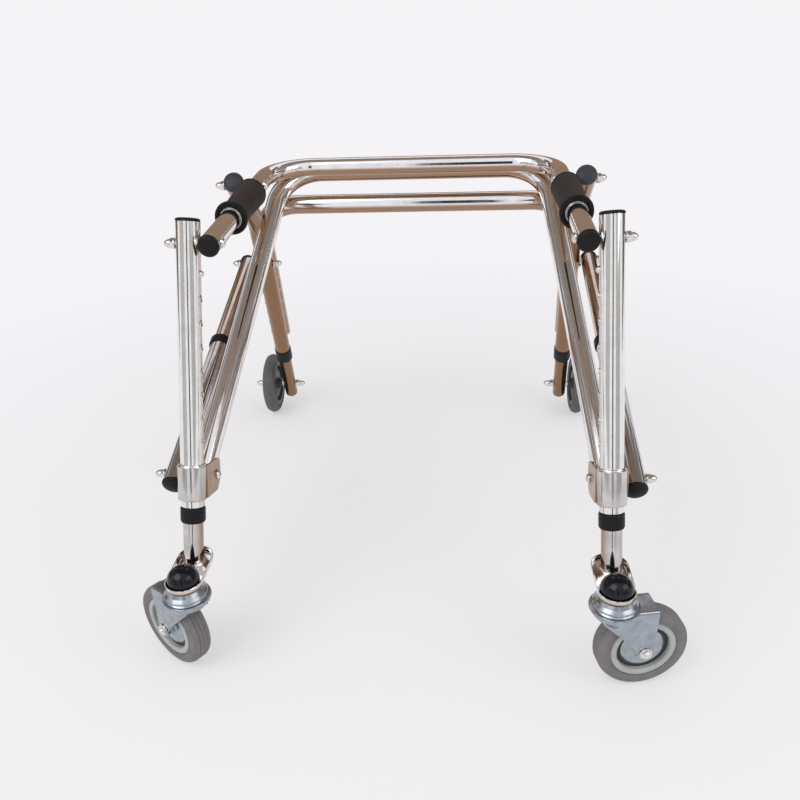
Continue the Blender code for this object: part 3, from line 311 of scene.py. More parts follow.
class Shape:
    """Closed shells of one piece, in the local frame of its matrix."""

    def __init__(self, name, matrix=None):
        self.name = name
        self.matrix = matrix or Matrix.Identity(4)
        self.points = []
        self.faces = []

    def row(self, points):
        first = len(self.points)
        self.points += [tuple(p) for p in points]
        return list(range(first, len(self.points)))

    def skin(self, rows, ring=False, wrap=True):
        """Faces between neighbouring rows of points."""
        pairs = list(zip(rows, rows[1:])) + ([(rows[-1], rows[0])] if ring else [])
        for upper, lower in pairs:
            count = len(upper)
            for k in range(count if wrap else count - 1):
                n = (k + 1) % count
                face = []
                for i in (upper[k], lower[k], lower[n], upper[n]):
                    if i not in face:
                        face.append(i)
                if len(face) > 2:
                    self.faces.append(face)
        return self

    def turn(self, profile, steps=ROUND, ring=False, place=None):
        """Turns (radius, height) pairs that run from the top down the outer side."""
        place = place or Matrix.Identity(4)
        rows = []
        for r, z in profile:
            if r < 1e-7:
                rows.append(self.row([place @ Vector((0, 0, z))]) * steps)
                continue
            rows.append(self.row([place @ polar(r, a, z) for a in full_turn(steps)]))
        return self.skin(rows, ring)

    def pipe(self, path, radius, bore):
        """Hollow tube along a path, with softened end edges."""
        ways = []
        for i in range(len(path)):
            ahead = path[min(i + 1, len(path) - 1)] - path[i]
            behind = path[i] - path[max(i - 1, 0)]
            ways.append((ahead.normalized() + behind.normalized()).normalized())
        sides = [square_to(ways[0], any_side(ways[0]))]
        for way in ways[1:]:
            sides.append(square_to(way, sides[-1]))
        last, edge = len(path) - 1, TUBE_EDGE
        rings = [(0, bore + edge, 0), (0, radius - edge, 0), (0, radius, edge)]
        rings += [(i, radius, 0) for i in range(1, last)]
        rings += [(last, radius, -edge), (last, radius - edge, 0), (last, bore + edge, 0)]
        rings += [(last, bore, -edge)] + [(i, bore, 0) for i in range(last - 1, 0, -1)]
        rows = []
        for i, r, shift in rings + [(0, bore, edge)]:
            centre = path[i] + ways[i] * shift
            rows.append(self.row(circle(centre, sides[i], ways[i].cross(sides[i]), r, ROUND)))
        return self.skin(rows[::-1], ring=True)

    def slab(self, rows):
        """Closed body between its first and last row of points."""
        self.skin(rows)
        self.faces += [rows[0], rows[-1][::-1]]
        return self

    def plate(self, outline, thickness, place, edge=0.0005):
        """Flat plate with softened edges, centred on the plane of its outline."""
        count = len(outline)
        inner = []
        for i in range(count):
            here = Vector(outline[i])
            back = (here - Vector(outline[i - 1])).normalized()
            ahead = (Vector(outline[(i + 1) % count]) - here).normalized()
            left = Vector((-(back + ahead).y, (back + ahead).x)).normalized()
            inner.append(here + left * edge)
        half = thickness / 2
        levels = [(inner, half), (outline, half - edge), (outline, edge - half), (inner, -half)]
        points = [[place @ Vector((p[0], p[1], z)) for p in line] for line, z in levels]
        return self.slab([self.row(p) for p in points])

    def sheet(self, outer, inner):
        """Closed sheet between an outer and an inner skin, each given as rows."""
        first, last = [[[r[i] for r in rows] for rows in (outer, inner)] for i in (0, -1)]
        for rows in (outer, [r[::-1] for r in inner], first, last[::-1]):
            self.skin(rows, wrap=False)
        self.skin([inner[0], outer[0]], wrap=False)
        self.skin([outer[-1], inner[-1]], wrap=False)

    def bead(self, path, radius, wave=RIPPLE, sides=10):
        """Closed weld bead: a thin rod with the ripples of a welded seam."""
        along = 0.0
        rows = []
        for i, point in enumerate(path):
            way = (path[(i + 1) % len(path)] - path[i - 1]).normalized()
            along += (point - path[i - 1]).length if i else 0.0
            u = square_to(way, any_side(way))
            r = radius * (1 - wave * (0.5 + 0.5 * cos(2 * pi * along / RIPPLE_PITCH)))
            rows.append(self.row(circle(point, u, way.cross(u), r, sides)))
        return self.skin(rows[::-1], ring=True)

    def make(self, sharp=SHARP):
        mesh = bpy.data.meshes.new(self.name)
        mesh.from_pydata(self.points, [], self.faces)
        mesh.transform(self.matrix)
        mesh.update()
        mesh.shade_smooth()
        mesh.set_sharp_from_angle(angle=sharp)
        return placed(self.name, mesh)


def placed(name, data):
    """New object of the scene."""
    obj = bpy.data.objects.new(name, data)
    bpy.context.scene.collection.objects.link(obj)
    return obj


def lathe(name, matrix, profile, steps=ROUND, ring=False):
    """Shape turned from a profile with rounded corners."""
    return Shape(name, matrix).turn(softened(profile), steps, ring)


def drill(obj, holes):
    """Cuts round holes, each given by its start and end."""
    cutter = Shape("cutter")
    for start, end in holes:
        profile = rod(HOLE_RADIUS, (end - start).length)
        cutter.turn(profile, HOLE_ROUND, place=frame_at(start, end - start))
    tool = cutter.make()
    step = obj.modifiers.new("holes", "BOOLEAN")
    step.operation = "DIFFERENCE"
    step.solver = "EXACT"
    step.object = tool
    bpy.context.view_layer.update()
    seen = obj.evaluated_get(bpy.context.evaluated_depsgraph_get())
    mesh = bpy.data.meshes.new_from_object(seen)
    obj.modifiers.clear()
    obj.data = mesh
    mesh.shade_smooth()
    mesh.set_sharp_from_angle(angle=SHARP)
    bpy.data.objects.remove(tool, do_unlink=True)
    return obj


def dress(obj, look, node, stands_for=True):
    """Gives a piece its finish and the body of its CAD node."""
    material, slot = FINISHES[look]
    obj.data.materials.clear()
    obj.data.materials.append(material)
    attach(obj, BODY_OF[node])
    if stands_for:
        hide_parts(node)
    return obj


def add(shape, look, node, sharp=SHARP):
    """Makes the piece that stands for a CAD node."""
    return dress(shape.make(sharp), look, node)


def trim(shape, look, node, sharp=SHARP):
    """Makes a further piece that rides with a CAD node."""
    return dress(shape.make(sharp), look, node, stands_for=False)


# Materials


def feed(tree, socket, value):
    """Sets a socket to a value, or links another socket to it."""
    if isinstance(value, bpy.types.NodeSocket):
        tree.links.new(value, socket)
    else:
        socket.default_value = value


def node_of(tree, kind, *sources, **values):
    """New node: the sources go to its first inputs, the values to inputs or settings by name."""
    node = tree.nodes.new(kind)
    for name, value in values.items():
        if name in node.inputs:
            feed(tree, node.inputs[name], value)
        else:
            setattr(node, name, value)
    for socket, value in zip(node.inputs, sources):
        feed(tree, socket, value)
    return node


def grain(tree, scale, detail=3.0, stretch=(1, 1, 1)):
    """Noise in object space, in cells per metre."""
    where = node_of(tree, "ShaderNodeTexCoord").outputs["Object"]
    place = node_of(tree, "ShaderNodeMapping", Vector=where, Scale=stretch).outputs["Vector"]
    noise = node_of(tree, "ShaderNodeTexNoise", Vector=place, Scale=scale, Detail=detail,
                    Roughness=0.55)
    return noise.outputs["Fac"]


def spread(tree, source, low, high, start=0.3, end=0.7):
    """Low where the source is at its start, and high at its end."""
    return node_of(tree, "ShaderNodeMapRange", source, start, end, low, high).outputs["Result"]


def blended(tree, factor, first, last):
    """Mix of two colours, each a tuple or a socket."""
    mix = node_of(tree, "ShaderNodeMix", factor, data_type="RGBA")
    targets = [s for s in mix.inputs if s.type == "RGBA"]
    for socket, colour in zip(targets, (first, last)):
        feed(tree, socket, (*colour, 1) if isinstance(colour, tuple) else colour)
    return [s for s in mix.outputs if s.type == "RGBA"][0]


def new_material(name, **values):
    """New material, with values for the inputs of its shader."""
    material = bpy.data.materials.new(name)
    material.use_nodes = True
    for key, value in values.items():
        socket = material.node_tree.nodes["Principled BSDF"].inputs[key.replace("_", " ")]
        socket.default_value = value
    return material, material.node_tree


def coated(material, colour, roughness, height, strength, distance=0.0002):
    """Feeds colour, roughness and bump to a material."""
    tree = material.node_tree
    bump = node_of(tree, "ShaderNodeBump", Strength=strength, Distance=distance, Height=height)
    sources = {"Base Color": colour, "Roughness": roughness, "Normal": bump.outputs["Normal"]}
    for name, source in sources.items():
        feed(tree, tree.nodes["Principled BSDF"].inputs[name], source)
    return material


def metal(name, bright, dull, low, high, painted_reflection=None, painted_reflection_from=-0.02, span=PAINTED_REFLECTION_SPAN, scale=60,
          bump=0.03):
    """Plated metal: smudged gloss, fine handling marks, and a painted reflection of a brown floor
    on its undersides.
    """
    material, tree = new_material(name, Metallic=1.0)
    smudge = grain(tree, scale, 4.0)
    colour = blended(tree, spread(tree, smudge, 0, 1, 0.35, 0.72), bright, dull)
    if painted_reflection:
        # Painted reflection: faces that point down are tinted brown, as though they reflected a
        # brown floor
        where = node_of(tree, "ShaderNodeTexCoord").outputs["Normal"]
        height = node_of(tree, "ShaderNodeSeparateXYZ", where).outputs["Z"]
        reflection_share = spread(tree, height, 1, 0, painted_reflection_from - span, painted_reflection_from)
        colour = blended(tree, reflection_share, colour, painted_reflection)
    marks = grain(tree, 900, 2.0, (1, 1, 0.25))
    return coated(material, colour, spread(tree, smudge, low, high), marks, bump)


def plastic(name, dark, pale, low, high, scale=900, bump=0.12, **values):
    """Moulded plastic with a fine pebbled surface."""
    material, tree = new_material(name, **values)
    cloud = grain(tree, 70, 4.0)
    colour = blended(tree, spread(tree, cloud, 0, 1), dark, pale)
    return coated(material, colour, spread(tree, cloud, low, high), grain(tree, scale, 2.0), bump)


def foam(name):
    """Soft foam: open cells, a slight sheen and patches rubbed paler."""
    material, tree = new_material(name, Sheen_Weight=0.04, Sheen_Roughness=0.5,
                                  Specular_IOR_Level=0.3)
    worn = spread(tree, grain(tree, 45, 5.0), 0, 1)
    cells = grain(tree, 1500, 3.0)
    base = blended(tree, worn, (0.012, 0.006, 0.005), (0.025, 0.013, 0.012))
    base = blended(tree, spread(tree, cells, 0, 0.5), base, (0.036, 0.022, 0.02))
    return coated(material, base, spread(tree, cells, 0.75, 0.95), cells, 0.55, 0.0006)


def rubber(name, dark, pale):
    """Grey tyre rubber with fine moulded rings, counted by an attribute of its mesh, and painted
    shade in the low parts of the rings.
    """
    material, tree = new_material(name, Specular_IOR_Level=0.35)
    count = node_of(tree, "ShaderNodeAttribute", attribute_name=RING_ATTRIBUTE).outputs["Fac"]
    turns = node_of(tree, "ShaderNodeMath", count, 2 * pi, operation="MULTIPLY")
    sine = node_of(tree, "ShaderNodeMath", turns.outputs["Value"], operation="SINE")
    rings = spread(tree, sine.outputs["Value"], 0, 1, -1, 1)
    dust = grain(tree, 90, 5.0)
    base = blended(tree, spread(tree, dust, 0, 1), dark, pale)
    # Painted shade: the rubber turns darker in the low parts of the rings
    groove = tuple(c * 0.6 for c in dark)
    shade = blended(tree, spread(tree, rings, 0.22, 0.0, 0, 1), base, groove)
    return coated(material, shade, spread(tree, dust, 0.55, 0.78), rings, 0.35, 0.0003)


FINISHES = {
    "chrome": (metal("polished_chrome", (0.88, 0.88, 0.88), (0.78, 0.78, 0.78), 0.05, 0.13,
                     (0.38, 0.24, 0.16)), "chrome_tube"),
    "post_chrome": (metal("post_chrome", (0.88, 0.88, 0.87), (0.78, 0.78, 0.77), 0.06, 0.14,
                          (0.38, 0.25, 0.17), 0.12), "chrome_tube"),
    # Painted shade: a darker copy of the chrome, for the lower front legs and the brace sleeves
    "painted_shade_chrome": (metal("painted_shade_chrome", (0.64, 0.63, 0.62), (0.5, 0.49, 0.48), 0.06, 0.15,
                         (0.4, 0.28, 0.2), 0.27, 0.2), "chrome_tube"),
    # Painted reflection: chrome tinted brown all over, as though it reflected brown surroundings,
    # for the rear legs and braces
    "painted_reflection_chrome": (metal("painted_reflection_chrome", (0.7, 0.61, 0.54), (0.58, 0.49, 0.42), 0.08, 0.18,
                          (0.29, 0.165, 0.095), 0.22), "chrome_tube"),
    "satin": (metal("satin_chrome", (0.68, 0.67, 0.66), (0.54, 0.53, 0.52), 0.13, 0.25,
                    (0.38, 0.26, 0.18), 0.16, bump=0.06), "chrome_tube"),
    # Painted reflection: steel tinted brown, as though the bracket's ears reflected brown
    # surroundings
    "painted_reflection_steel": (metal("painted_reflection_steel", (0.44, 0.305, 0.215), (0.36, 0.24, 0.165), 0.18, 0.32,
                        (0.3, 0.19, 0.12), 0.1, bump=0.06), "chrome_tube"),
    "steel": (metal("bright_steel", (0.8, 0.79, 0.77), (0.66, 0.65, 0.62), 0.12, 0.26),
              "bolt_steel"),
    "zinc": (metal("zinc_plate", (0.42, 0.46, 0.5), (0.31, 0.345, 0.38), 0.17, 0.32,
                   scale=110, bump=0.06), "zinc_fork"),
    "black": (plastic("black_plastic", (0.004, 0.004, 0.005), (0.009, 0.009, 0.01), 0.36, 0.52,
                      Specular_IOR_Level=0.22), "black_plastic"),
    "gloss": (plastic("gloss_black", (0.003, 0.0035, 0.006), (0.006, 0.007, 0.012), 0.1, 0.18,
                      bump=0.02, Specular_IOR_Level=0.32), "black_cover"),
    "slate": (plastic("slate_plastic", (0.036, 0.038, 0.046), (0.05, 0.053, 0.064), 0.4, 0.55,
                      Specular_IOR_Level=0.3), "black_plastic"),
    "foam": (foam("grip_foam"), "grip_foam"),
    "front_rubber": (rubber("front_rubber", (0.18, 0.17, 0.18), (0.25, 0.235, 0.24)), "grey_tyre"),
    "rear_rubber": (rubber("rear_rubber", (0.11, 0.11, 0.105), (0.165, 0.165, 0.16)), "grey_tyre"),
    "hub": (plastic("hub_plastic", (0.4, 0.42, 0.41), (0.5, 0.52, 0.5), 0.38, 0.55, 400),
            "hub_plastic"),
    # Painted shade: a dark copy of the hub plastic, for the rear hubs and their guards
    "rear_hub": (plastic("painted_shade_hub_plastic", (0.055, 0.057, 0.057), (0.085, 0.087, 0.086), 0.38,
                         0.55, 400), "hub_plastic"),
}


# Places, worked out as in the CAD model


def outboard(side):
    return Vector((side, 0, 0))


def post_way(side):
    return Vector((side * tan(POST_SPLAY), -tan(POST_LEAN), -1)).normalized()


def post_face(side):
    """Way from a post's axis to the side with the holes."""
    return square_to(post_way(side), -outboard(side))


def post_point(side, down):
    beside = (SLIDE_RADIUS + FRAME_RADIUS + GAP) / cos(POST_SPLAY)
    way = post_way(side)
    x = RAIL_HALF_WIDTH + beside - POST_BOLT_DOWN * abs(way.x)
    return Vector((side * x, -ORIGIN_BEHIND_POSTS, POST_TOP_HEIGHT)) + way * down


def sideways(side, x, place):
    """The place, moved to a distance from the middle plane."""
    return Vector((side * x, place.y, place.z))


def rail_point(side, along):
    start = sideways(side, RAIL_HALF_WIDTH, post_point(side, POST_BOLT_DOWN))
    return start + along * Vector((0, cos(RAIL_RISE), sin(RAIL_RISE)))


def diagonal_corner(side):
    apart = SLIDE_RADIUS + FRAME_RADIUS + DIAGONAL_BAR_GAP
    shift = apart * Vector((0, cos(DIAGONAL_BAR_ANGLE), sin(DIAGONAL_BAR_ANGLE)))
    return sideways(side, DIAGONAL_TOP_HALF_WIDTH, rail_point(side, RAIL_REACH)) + shift


def beside_post(side, down, behind):
    """Point at a distance behind a post, square to it."""
    way = post_way(side)
    flat = Vector((0, way.y, way.z)).normalized()
    return post_point(side, down) + Vector((0, -flat.z, flat.y)) * behind


def lower_bolt_place(side, x):
    return sideways(side, x, beside_post(side, LOWER_BOLT_DOWN, LOWER_BOLT_BEHIND))


def diagonal_foot_x():
    return post_point(1, LOWER_BOLT_DOWN).x


def ear_x(outer):
    beside = FRAME_RADIUS + DIAGONAL_EAR_CLEARANCE + EAR_THICKNESS / 2
    return diagonal_foot_x() + (beside if outer else -beside)


def pivot_point(side):
    x = RAIL_HALF_WIDTH + SLIDE_RADIUS + LEG_SIDE_GAP + FRAME_RADIUS
    return sideways(side, x, rail_point(side, PIVOT_ALONG_RAIL)) + UP * PIVOT_ABOVE_RAIL


def knee_point(side):
    drop = Vector((0, cos(LEG_TOP_DROP), -sin(LEG_TOP_DROP)))
    way = drop * cos(LEG_TOP_SPLAY) + outboard(side) * sin(LEG_TOP_SPLAY)
    return pivot_point(side) + way * LEG_TOP_STRETCH


def leg_way(side):
    way = Vector((0, sin(LEG_LEAN), -cos(LEG_LEAN))) * cos(LEG_SPLAY)
    return way + outboard(side) * sin(LEG_SPLAY)


def leg_face(side):
    """Way from a rear leg's axis to the side with the holes."""
    return square_to(leg_way(side), outboard(side))


def leg_point(side, down):
    return knee_point(side) + leg_way(side) * down


def cross_point(side, down):
    behind = Vector((0, cos(LEG_LEAN), sin(LEG_LEAN)))
    return leg_point(side, down) + behind * (2 * FRAME_RADIUS + GAP)


def axle_down():
    return (knee_point(1).z - REAR_WHEEL_RADIUS) / -leg_way(1).z


def front_leg_foot_down():
    drop = POST_TOP_HEIGHT - TRAY_LOW - TRAY_FLOOR / 2
    return drop / -post_way(1).z


def swivel_place(side):
    foot = post_point(side, front_leg_foot_down())
    return Vector((foot.x - side * CASTER_INBOARD, foot.y - CASTER_LEAD, 0))


def brace_foot(side):
    x = ear_x(True) + EAR_THICKNESS / 2 + GAP + FRAME_RADIUS
    return lower_bolt_place(side, x)


def brace_top(side):
    centre = leg_point(side, BRACE_TOP_BELOW_KNEE)
    x = abs(centre.x) + FRAME_RADIUS + BRACE_TOP_SPACER + SLIDE_RADIUS
    return sideways(side, x, centre)


def brace_way(side):
    return (brace_top(side) - brace_foot(side)).normalized()


def caster_ways(side):
    turn = CASTER_TURN[side]
    trail = Vector((cos(turn), sin(turn), 0))
    return trail, UP.cross(trail)


def rear_wheel_centre(side):
    beside = SLIDE_RADIUS / cos(LEG_SPLAY) + REAR_WHEEL_SPACER + REAR_HUB_WIDTH / 2
    return leg_point(side, axle_down()) + outboard(side) * beside


# Tubes


def rounded_path(corners, radius):
    """Points along straight runs whose corners are arcs of one radius."""
    points = [corners[0]]
    for before, corner, after in zip(corners, corners[1:], corners[2:]):
        back = (before - corner).normalized()
        ahead = (after - corner).normalized()
        half = back.angle(ahead) / 2
        start = corner + back * (radius / tan(half))
        centre = corner + (back + ahead).normalized() * (radius / sin(half))
        spoke = start - centre
        hinge = ahead.cross(back).normalized()
        bend = pi - 2 * half
        steps = max(3, round(bend / BEND_STEP))
        for k in range(steps + 1):
            points.append(centre + Matrix.Rotation(bend * k / steps, 3, hinge) @ spoke)
    points.append(corners[-1])
    return points


def tube(node, path, radius, bore, look="chrome"):
    add(Shape(node + "_tube").pipe(path, radius, bore), look, node)


def drilled_tube(node, path, radius, bore, holes, look):
    """Tube with round holes, each given by its start and end."""
    obj = Shape(node + "_shell").pipe(path, radius, bore).make()
    dress(drill(obj, holes), look, node)


def hole_row(points, face, radius=FRAME_RADIUS):
    """Places of holes through one wall of a tube."""
    return [(p + face * SLIDE_BORE / 2, p + face * radius * 1.5) for p in points]


def beside_holes(place, side, downs):
    """Path points on both sides of each hole, so that the tube between holes shades evenly."""
    return [place(side, down + shift) for down in downs for shift in (-HOLE_MARGIN, HOLE_MARGIN)]


def rims(name, points, face, node):
    """Bright lips round a row of punched holes."""
    shape = Shape(name)
    r = HOLE_RADIUS - 0.0001
    for p in points:
        place = frame_at(p, face)
        lip = [place @ polar(r, a, sqrt(FRAME_RADIUS ** 2 - (r * sin(a)) ** 2))
               for a in full_turn(RIM_ROUND)]
        shape.bead(lip, RIM_BEAD, wave=0, sides=8)
    trim(shape, "steel", node)


def holed_leg(node, rims_name, path, place, side, first, count, face, look):
    """Outer tube of a leg, with the row of holes for its snap button."""
    downs = [first + k * HOLE_PITCH for k in range(count)]
    path[-1:-1] = beside_holes(place, side, downs)
    points = [place(side, down) for down in downs]
    drilled_tube(node, path, FRAME_RADIUS, FRAME_BORE, hole_row(points, face), look)
    rims(rims_name, points, face, node)


def post_tube(word, side):
    path = [post_point(side, 0), post_point(side, POST_LENGTH)]
    holed_leg(word + "_post_tube", word + "_post_hole_rims", path, post_point, side,
              FRONT_BUTTON_DOWN, HOLE_COUNT, post_face(side), "post_chrome")


def handle_rail():
    corners = [rail_point(1, -RAIL_TOE), rail_point(1, RAIL_REACH)]
    corners += [rail_point(-1, RAIL_REACH), rail_point(-1, -RAIL_TOE)]
    tube("handle_rail", rounded_path(corners, U_BEND_RADIUS), SLIDE_RADIUS, SLIDE_BORE)


def diagonal_frame():
    corners = []
    for side in (1, -1):
        corner = diagonal_corner(side)
        foot = lower_bolt_place(side, diagonal_foot_x())
        end = foot + (foot - corner).normalized() * DIAGONAL_TOE
        corners += [end, corner] if side > 0 else [corner, end]
    tube("diagonal_frame", rounded_path(corners, U_BEND_RADIUS), FRAME_RADIUS, FRAME_BORE)


def rear_leg_end(side):
    """Upper end of a rear leg's tube, and the way that it points."""
    way = (pivot_point(side) - knee_point(side)).normalized()
    return pivot_point(side) + way * LEG_TOE, way


def rear_leg_tube(word, side):
    corners = [rear_leg_end(side)[0], knee_point(side), leg_point(side, LEG_TUBE_LENGTH)]
    path = rounded_path(corners, KNEE_BEND_RADIUS)
    holed_leg(word + "_rear_leg_tube", word + "_leg_hole_rims", path, leg_point, side,
              REAR_BUTTON_DOWN, SETTINGS, leg_face(side), "painted_reflection_chrome")


def rear_cross_frame():
    node = "rear_cross_frame"
    corners = [cross_point(1, CROSS_LEG_LENGTH), cross_point(1, -CROSS_BAR_ABOVE_KNEE)]
    corners += [cross_point(-1, -CROSS_BAR_ABOVE_KNEE), cross_point(-1, CROSS_LEG_LENGTH)]
    path = rounded_path(corners, U_BEND_RADIUS)
    downs = [CROSS_HOLES_START + k * CROSS_HOLE_PITCH for k in range(CROSS_HOLE_COUNT)]
    path[-1:-1] = beside_holes(cross_point, -1, downs)
    path[1:1] = reversed(beside_holes(cross_point, 1, downs))
    rows = {}
    for word, side in SIDES:
        face = square_to(leg_way(side), -BEHIND) * cos(CROSS_HOLE_ANGLE)
        face += square_to(leg_way(side), -outboard(side)) * sin(CROSS_HOLE_ANGLE)
        rows[word] = ([cross_point(side, down) for down in downs], face)
    holes = [hole for row in rows.values() for hole in hole_row(*row)]
    drilled_tube(node, path, FRAME_RADIUS, FRAME_BORE, holes, "chrome")
    for word, row in rows.items():
        rims(word + "_cross_hole_rims", *row, node)


# Fittings


def cap_nut(shape, radius, start, height, crown, place=None):
    """Hexagon-sided nut with a flange below and a pointed dome above."""
    tip = start + height
    waist = radius * 0.8
    cap = [(waist * sin(a) ** 0.9, tip + crown * cos(a))
           for a in [pi / 2 * k / 12 for k in range(13)]]
    shape.turn(cap + [(waist, tip - 0.0004), (0, tip - 0.0004)], 28, place=place)
    shape.turn([(0, tip), (radius * 0.86, tip), (radius, tip - 0.0008), (radius, start + 0.0012),
                (radius * 0.94, start + 0.0009), (0, start + 0.0009)], 6, place=place)
    shape.turn(softened([(0, start + 0.001), (radius, start + 0.001, 0.0003),
                         (radius, start, 0.0003), (0, start)]), 36, place=place)


def bolt_ends(shape, grip, head=True):
    """Button head with its socket, shank and cap nut along local Z."""
    shape.turn(rod(BOLT_RADIUS, grip + NUT_HEIGHT), 20)
    cap_nut(shape, NUT_RADIUS, grip, NUT_HEIGHT, NUT_DOME)
    if head:
        low = HEAD_HEIGHT
        profile = [(0, 0), (HEAD_RADIUS, 0), (HEAD_RADIUS, -low * 0.35, 0.0008)]
        profile += [(HEAD_RADIUS * 0.62, -low, 0.0008), (0.0019, -low), (0.0017, -low * 0.45)]
        shape.turn(softened(profile + [(0, -low * 0.45)]), 32)
    return shape


def bolt(node, head_face, nut_face):
    axis = nut_face - head_face
    shape = Shape(node + "_fine", frame_at(head_face, axis, UP))
    add(bolt_ends(shape, axis.length), "steel", node)


def plug(node, end, outward, radius, bore, lip=PLUG_LIP, look="black"):
    outer, spigot = radius + lip, bore - GAP
    rise = 2 * max(lip, 0)
    profile = dome(outer, PLUG_DOME - rise, GAP + rise)
    profile += [(outer, GAP + 0.0002), (outer - 0.0003, GAP), (spigot, GAP)]
    profile += [(spigot, -PLUG_SPIGOT), (0, -PLUG_SPIGOT)]
    add(lathe(node + "_fine", frame_at(end, outward), profile), look, node)


def post_cap(word, side):
    node = word + "_post_cap"
    top, spigot = 0.003 + GAP, FRAME_BORE - GAP
    profile = [(0, top), (FRAME_RADIUS - 0.0022, top, 0.0008), (FRAME_RADIUS, top - 0.0009, 0.0008)]
    profile += [(FRAME_RADIUS, GAP), (spigot, GAP), (spigot, -0.012), (0, -0.012)]
    place = frame_at(post_point(side, 0), -post_way(side), outboard(side))
    add(lathe(node + "_fine", place, profile), "black", node)


def collar(node, start, way, length, lip):
    """Bush with a softened top, a groove below it and a chamfered foot."""
    outer, bore = FRAME_RADIUS + lip, SLIDE_RADIUS + GAP
    groove = length - 0.0052
    profile = [(bore, length), (outer - 0.0009, length, 0.0006), (outer, length - 0.0018, 0.001)]
    profile += [(outer, groove + 0.0006, 0.0003), (outer - 0.0005, groove, 0.0003)]
    profile += [(outer, groove - 0.0006, 0.0003), (outer, 0.0022, 0.001)]
    profile += [(outer - 0.0012, 0, 0.0006), (bore, 0)]
    place = frame_at(start + way * length, -way)
    add(lathe(node + "_fine", place, profile, ring=True), "black", node)


def post_bracket(word, side):
    """Ring round the post with two ears, and rippled weld beads along the ring's edges."""
    node = word + "_post_bracket"
    way = post_way(side)
    top, low = [post_point(side, BRACKET_TOP_DOWN + d) for d in (0, BRACKET_LENGTH)]
    bore = FRAME_RADIUS + GAP
    ring = [(bore, BRACKET_LENGTH), (BRACKET_RADIUS, BRACKET_LENGTH, 0.0009)]
    ring += [(BRACKET_RADIUS, 0, 0.0009), (bore, 0)]
    place = frame_at(low, -way, outboard(side))
    add(lathe(node + "_fine", place, ring, 64, True), "satin", node)
    back = beside_post(side, BRACKET_TOP_DOWN, 1) - top
    foot = EAR_INSET - BRACKET_LENGTH
    outline = [(0.0, -EAR_INSET), (0.0, foot), (EAR_REACH - EAR_CORNER, foot, 0.006)]
    outline += [(EAR_REACH, foot + EAR_CORNER, 0.006), (EAR_REACH, -EAR_REAR_DROP, 0.004)]
    outline += [(BRACKET_RADIUS, -EAR_INSET, 0.004)]
    ears = Shape(node + "_ears")
    for outer in (False, True):
        place = frame_at(sideways(side, ear_x(outer), top), outboard(1), back)
        ears.plate(softened(outline, ring=True), EAR_THICKNESS, place)
    trim(ears, "painted_reflection_steel", node)
    seam = Shape(node + "_weld")
    r = FRAME_RADIUS + 0.0009
    for down in (BRACKET_TOP_DOWN - 0.0004, BRACKET_TOP_DOWN + BRACKET_LENGTH):
        place = frame_at(post_point(side, down), -way, outboard(side))
        path = [place @ polar(r, a, 0.0003 * sin(5 * a + side)) for a in full_turn(96)]
        seam.bead(path, BRACKET_WELD)
    trim(seam, "chrome", node)


def grip(word, side):
    """Waisted foam sleeve between a black flange with a steel washer and a black cuff."""
    node = word + "_grip"
    back = rail_point(side, 1) - rail_point(side, 0)
    place = frame_at(rail_point(side, GRIP_START), back, UP)
    bore, end, far = SLIDE_RADIUS + GAP, GRIP_LENGTH, GRIP_FAR_FLANGE_RADIUS
    body = [(bore, end - 0.0045), (far - GRIP_LIP, end - 0.0045)]
    body += [(far - GRIP_LIP / 2, end - 0.0065, 0.001)]
    for t in [k / 16 for k in range(1, 16)]:
        waist = GRIP_WAIST * sin(pi / 2 * t) ** 1.5
        ribs = 0.0002 * sin(7 * pi * t) ** 2
        body.append((far - GRIP_LIP / 2 - waist - ribs, end - 0.0085 - (end - 0.0155) * t))
    near = far - GRIP_WAIST - GRIP_LIP
    body += [(near, 0.0062, 0.001), (near - GRIP_LIP, 0.0048, 0.0008), (bore, 0.0048)]
    sleeve = lathe(node + "_foam", place, body, 64, True)
    sleeve = add(sleeve, "foam", node, radians(70))
    rim = GRIP_FLANGE_RADIUS
    flange = [(bore, 0.005), (rim - 0.001, 0.0052, 0.0012), (rim, 0.003, 0.0022)]
    flange += [(rim - 0.0004, 0.0, 0.002), (0.0152, 0.0, 0.0008), (0.0146, 0.0014, 0.0005)]
    flange += [(bore, 0.0014)]
    cuff = [(bore, end), (far - 0.002, end, 0.0018), (far, end - 0.0018, 0.0016)]
    cuff += [(far, end - 0.0042, 0.0008), (far - 0.0008, end - 0.0052, 0.0006)]
    cuff += [(bore, end - 0.0052)]
    ends = lathe(node + "_flange", place, flange, 64, True).turn(softened(cuff), 64, True)
    trim(ends, "black", node, radians(50))
    rim = GRIP_WASHER_RADIUS
    washer = [(rim, 0.0016), (rim, -0.0004, 0.0003), (bore, -0.0004, 0.0002), (bore, 0.0016)]
    trim(lathe(node + "_washer", place, washer, ring=True), "steel", node)


def snap_button(node, centre, out, down_way):
    """Button with a domed end, and the leaf spring below it."""
    base = SLIDE_BORE - 0.0012 - BUTTON_RADIUS * 0.3
    rise = BUTTON_RADIUS * 0.9
    rim = FRAME_RADIUS + BUTTON_PROUD - rise
    profile = dome(BUTTON_RADIUS, rise, rim, 8) + [(BUTTON_RADIUS, base), (0, base)]
    shape = Shape(node + "_fine", frame_at(centre, out, down_way)).turn(profile, 28)
    leaf = [(x, y, 0.002) for x, y in ((-0.003, -0.003), (0.023, -0.003), (0.023, 0.003),
                                       (-0.003, 0.003))]
    place = Matrix.Translation((0, 0, base + 0.0006))
    add(shape.plate(softened(leaf, ring=True), 0.0012, place, 0.0002), "steel", node)


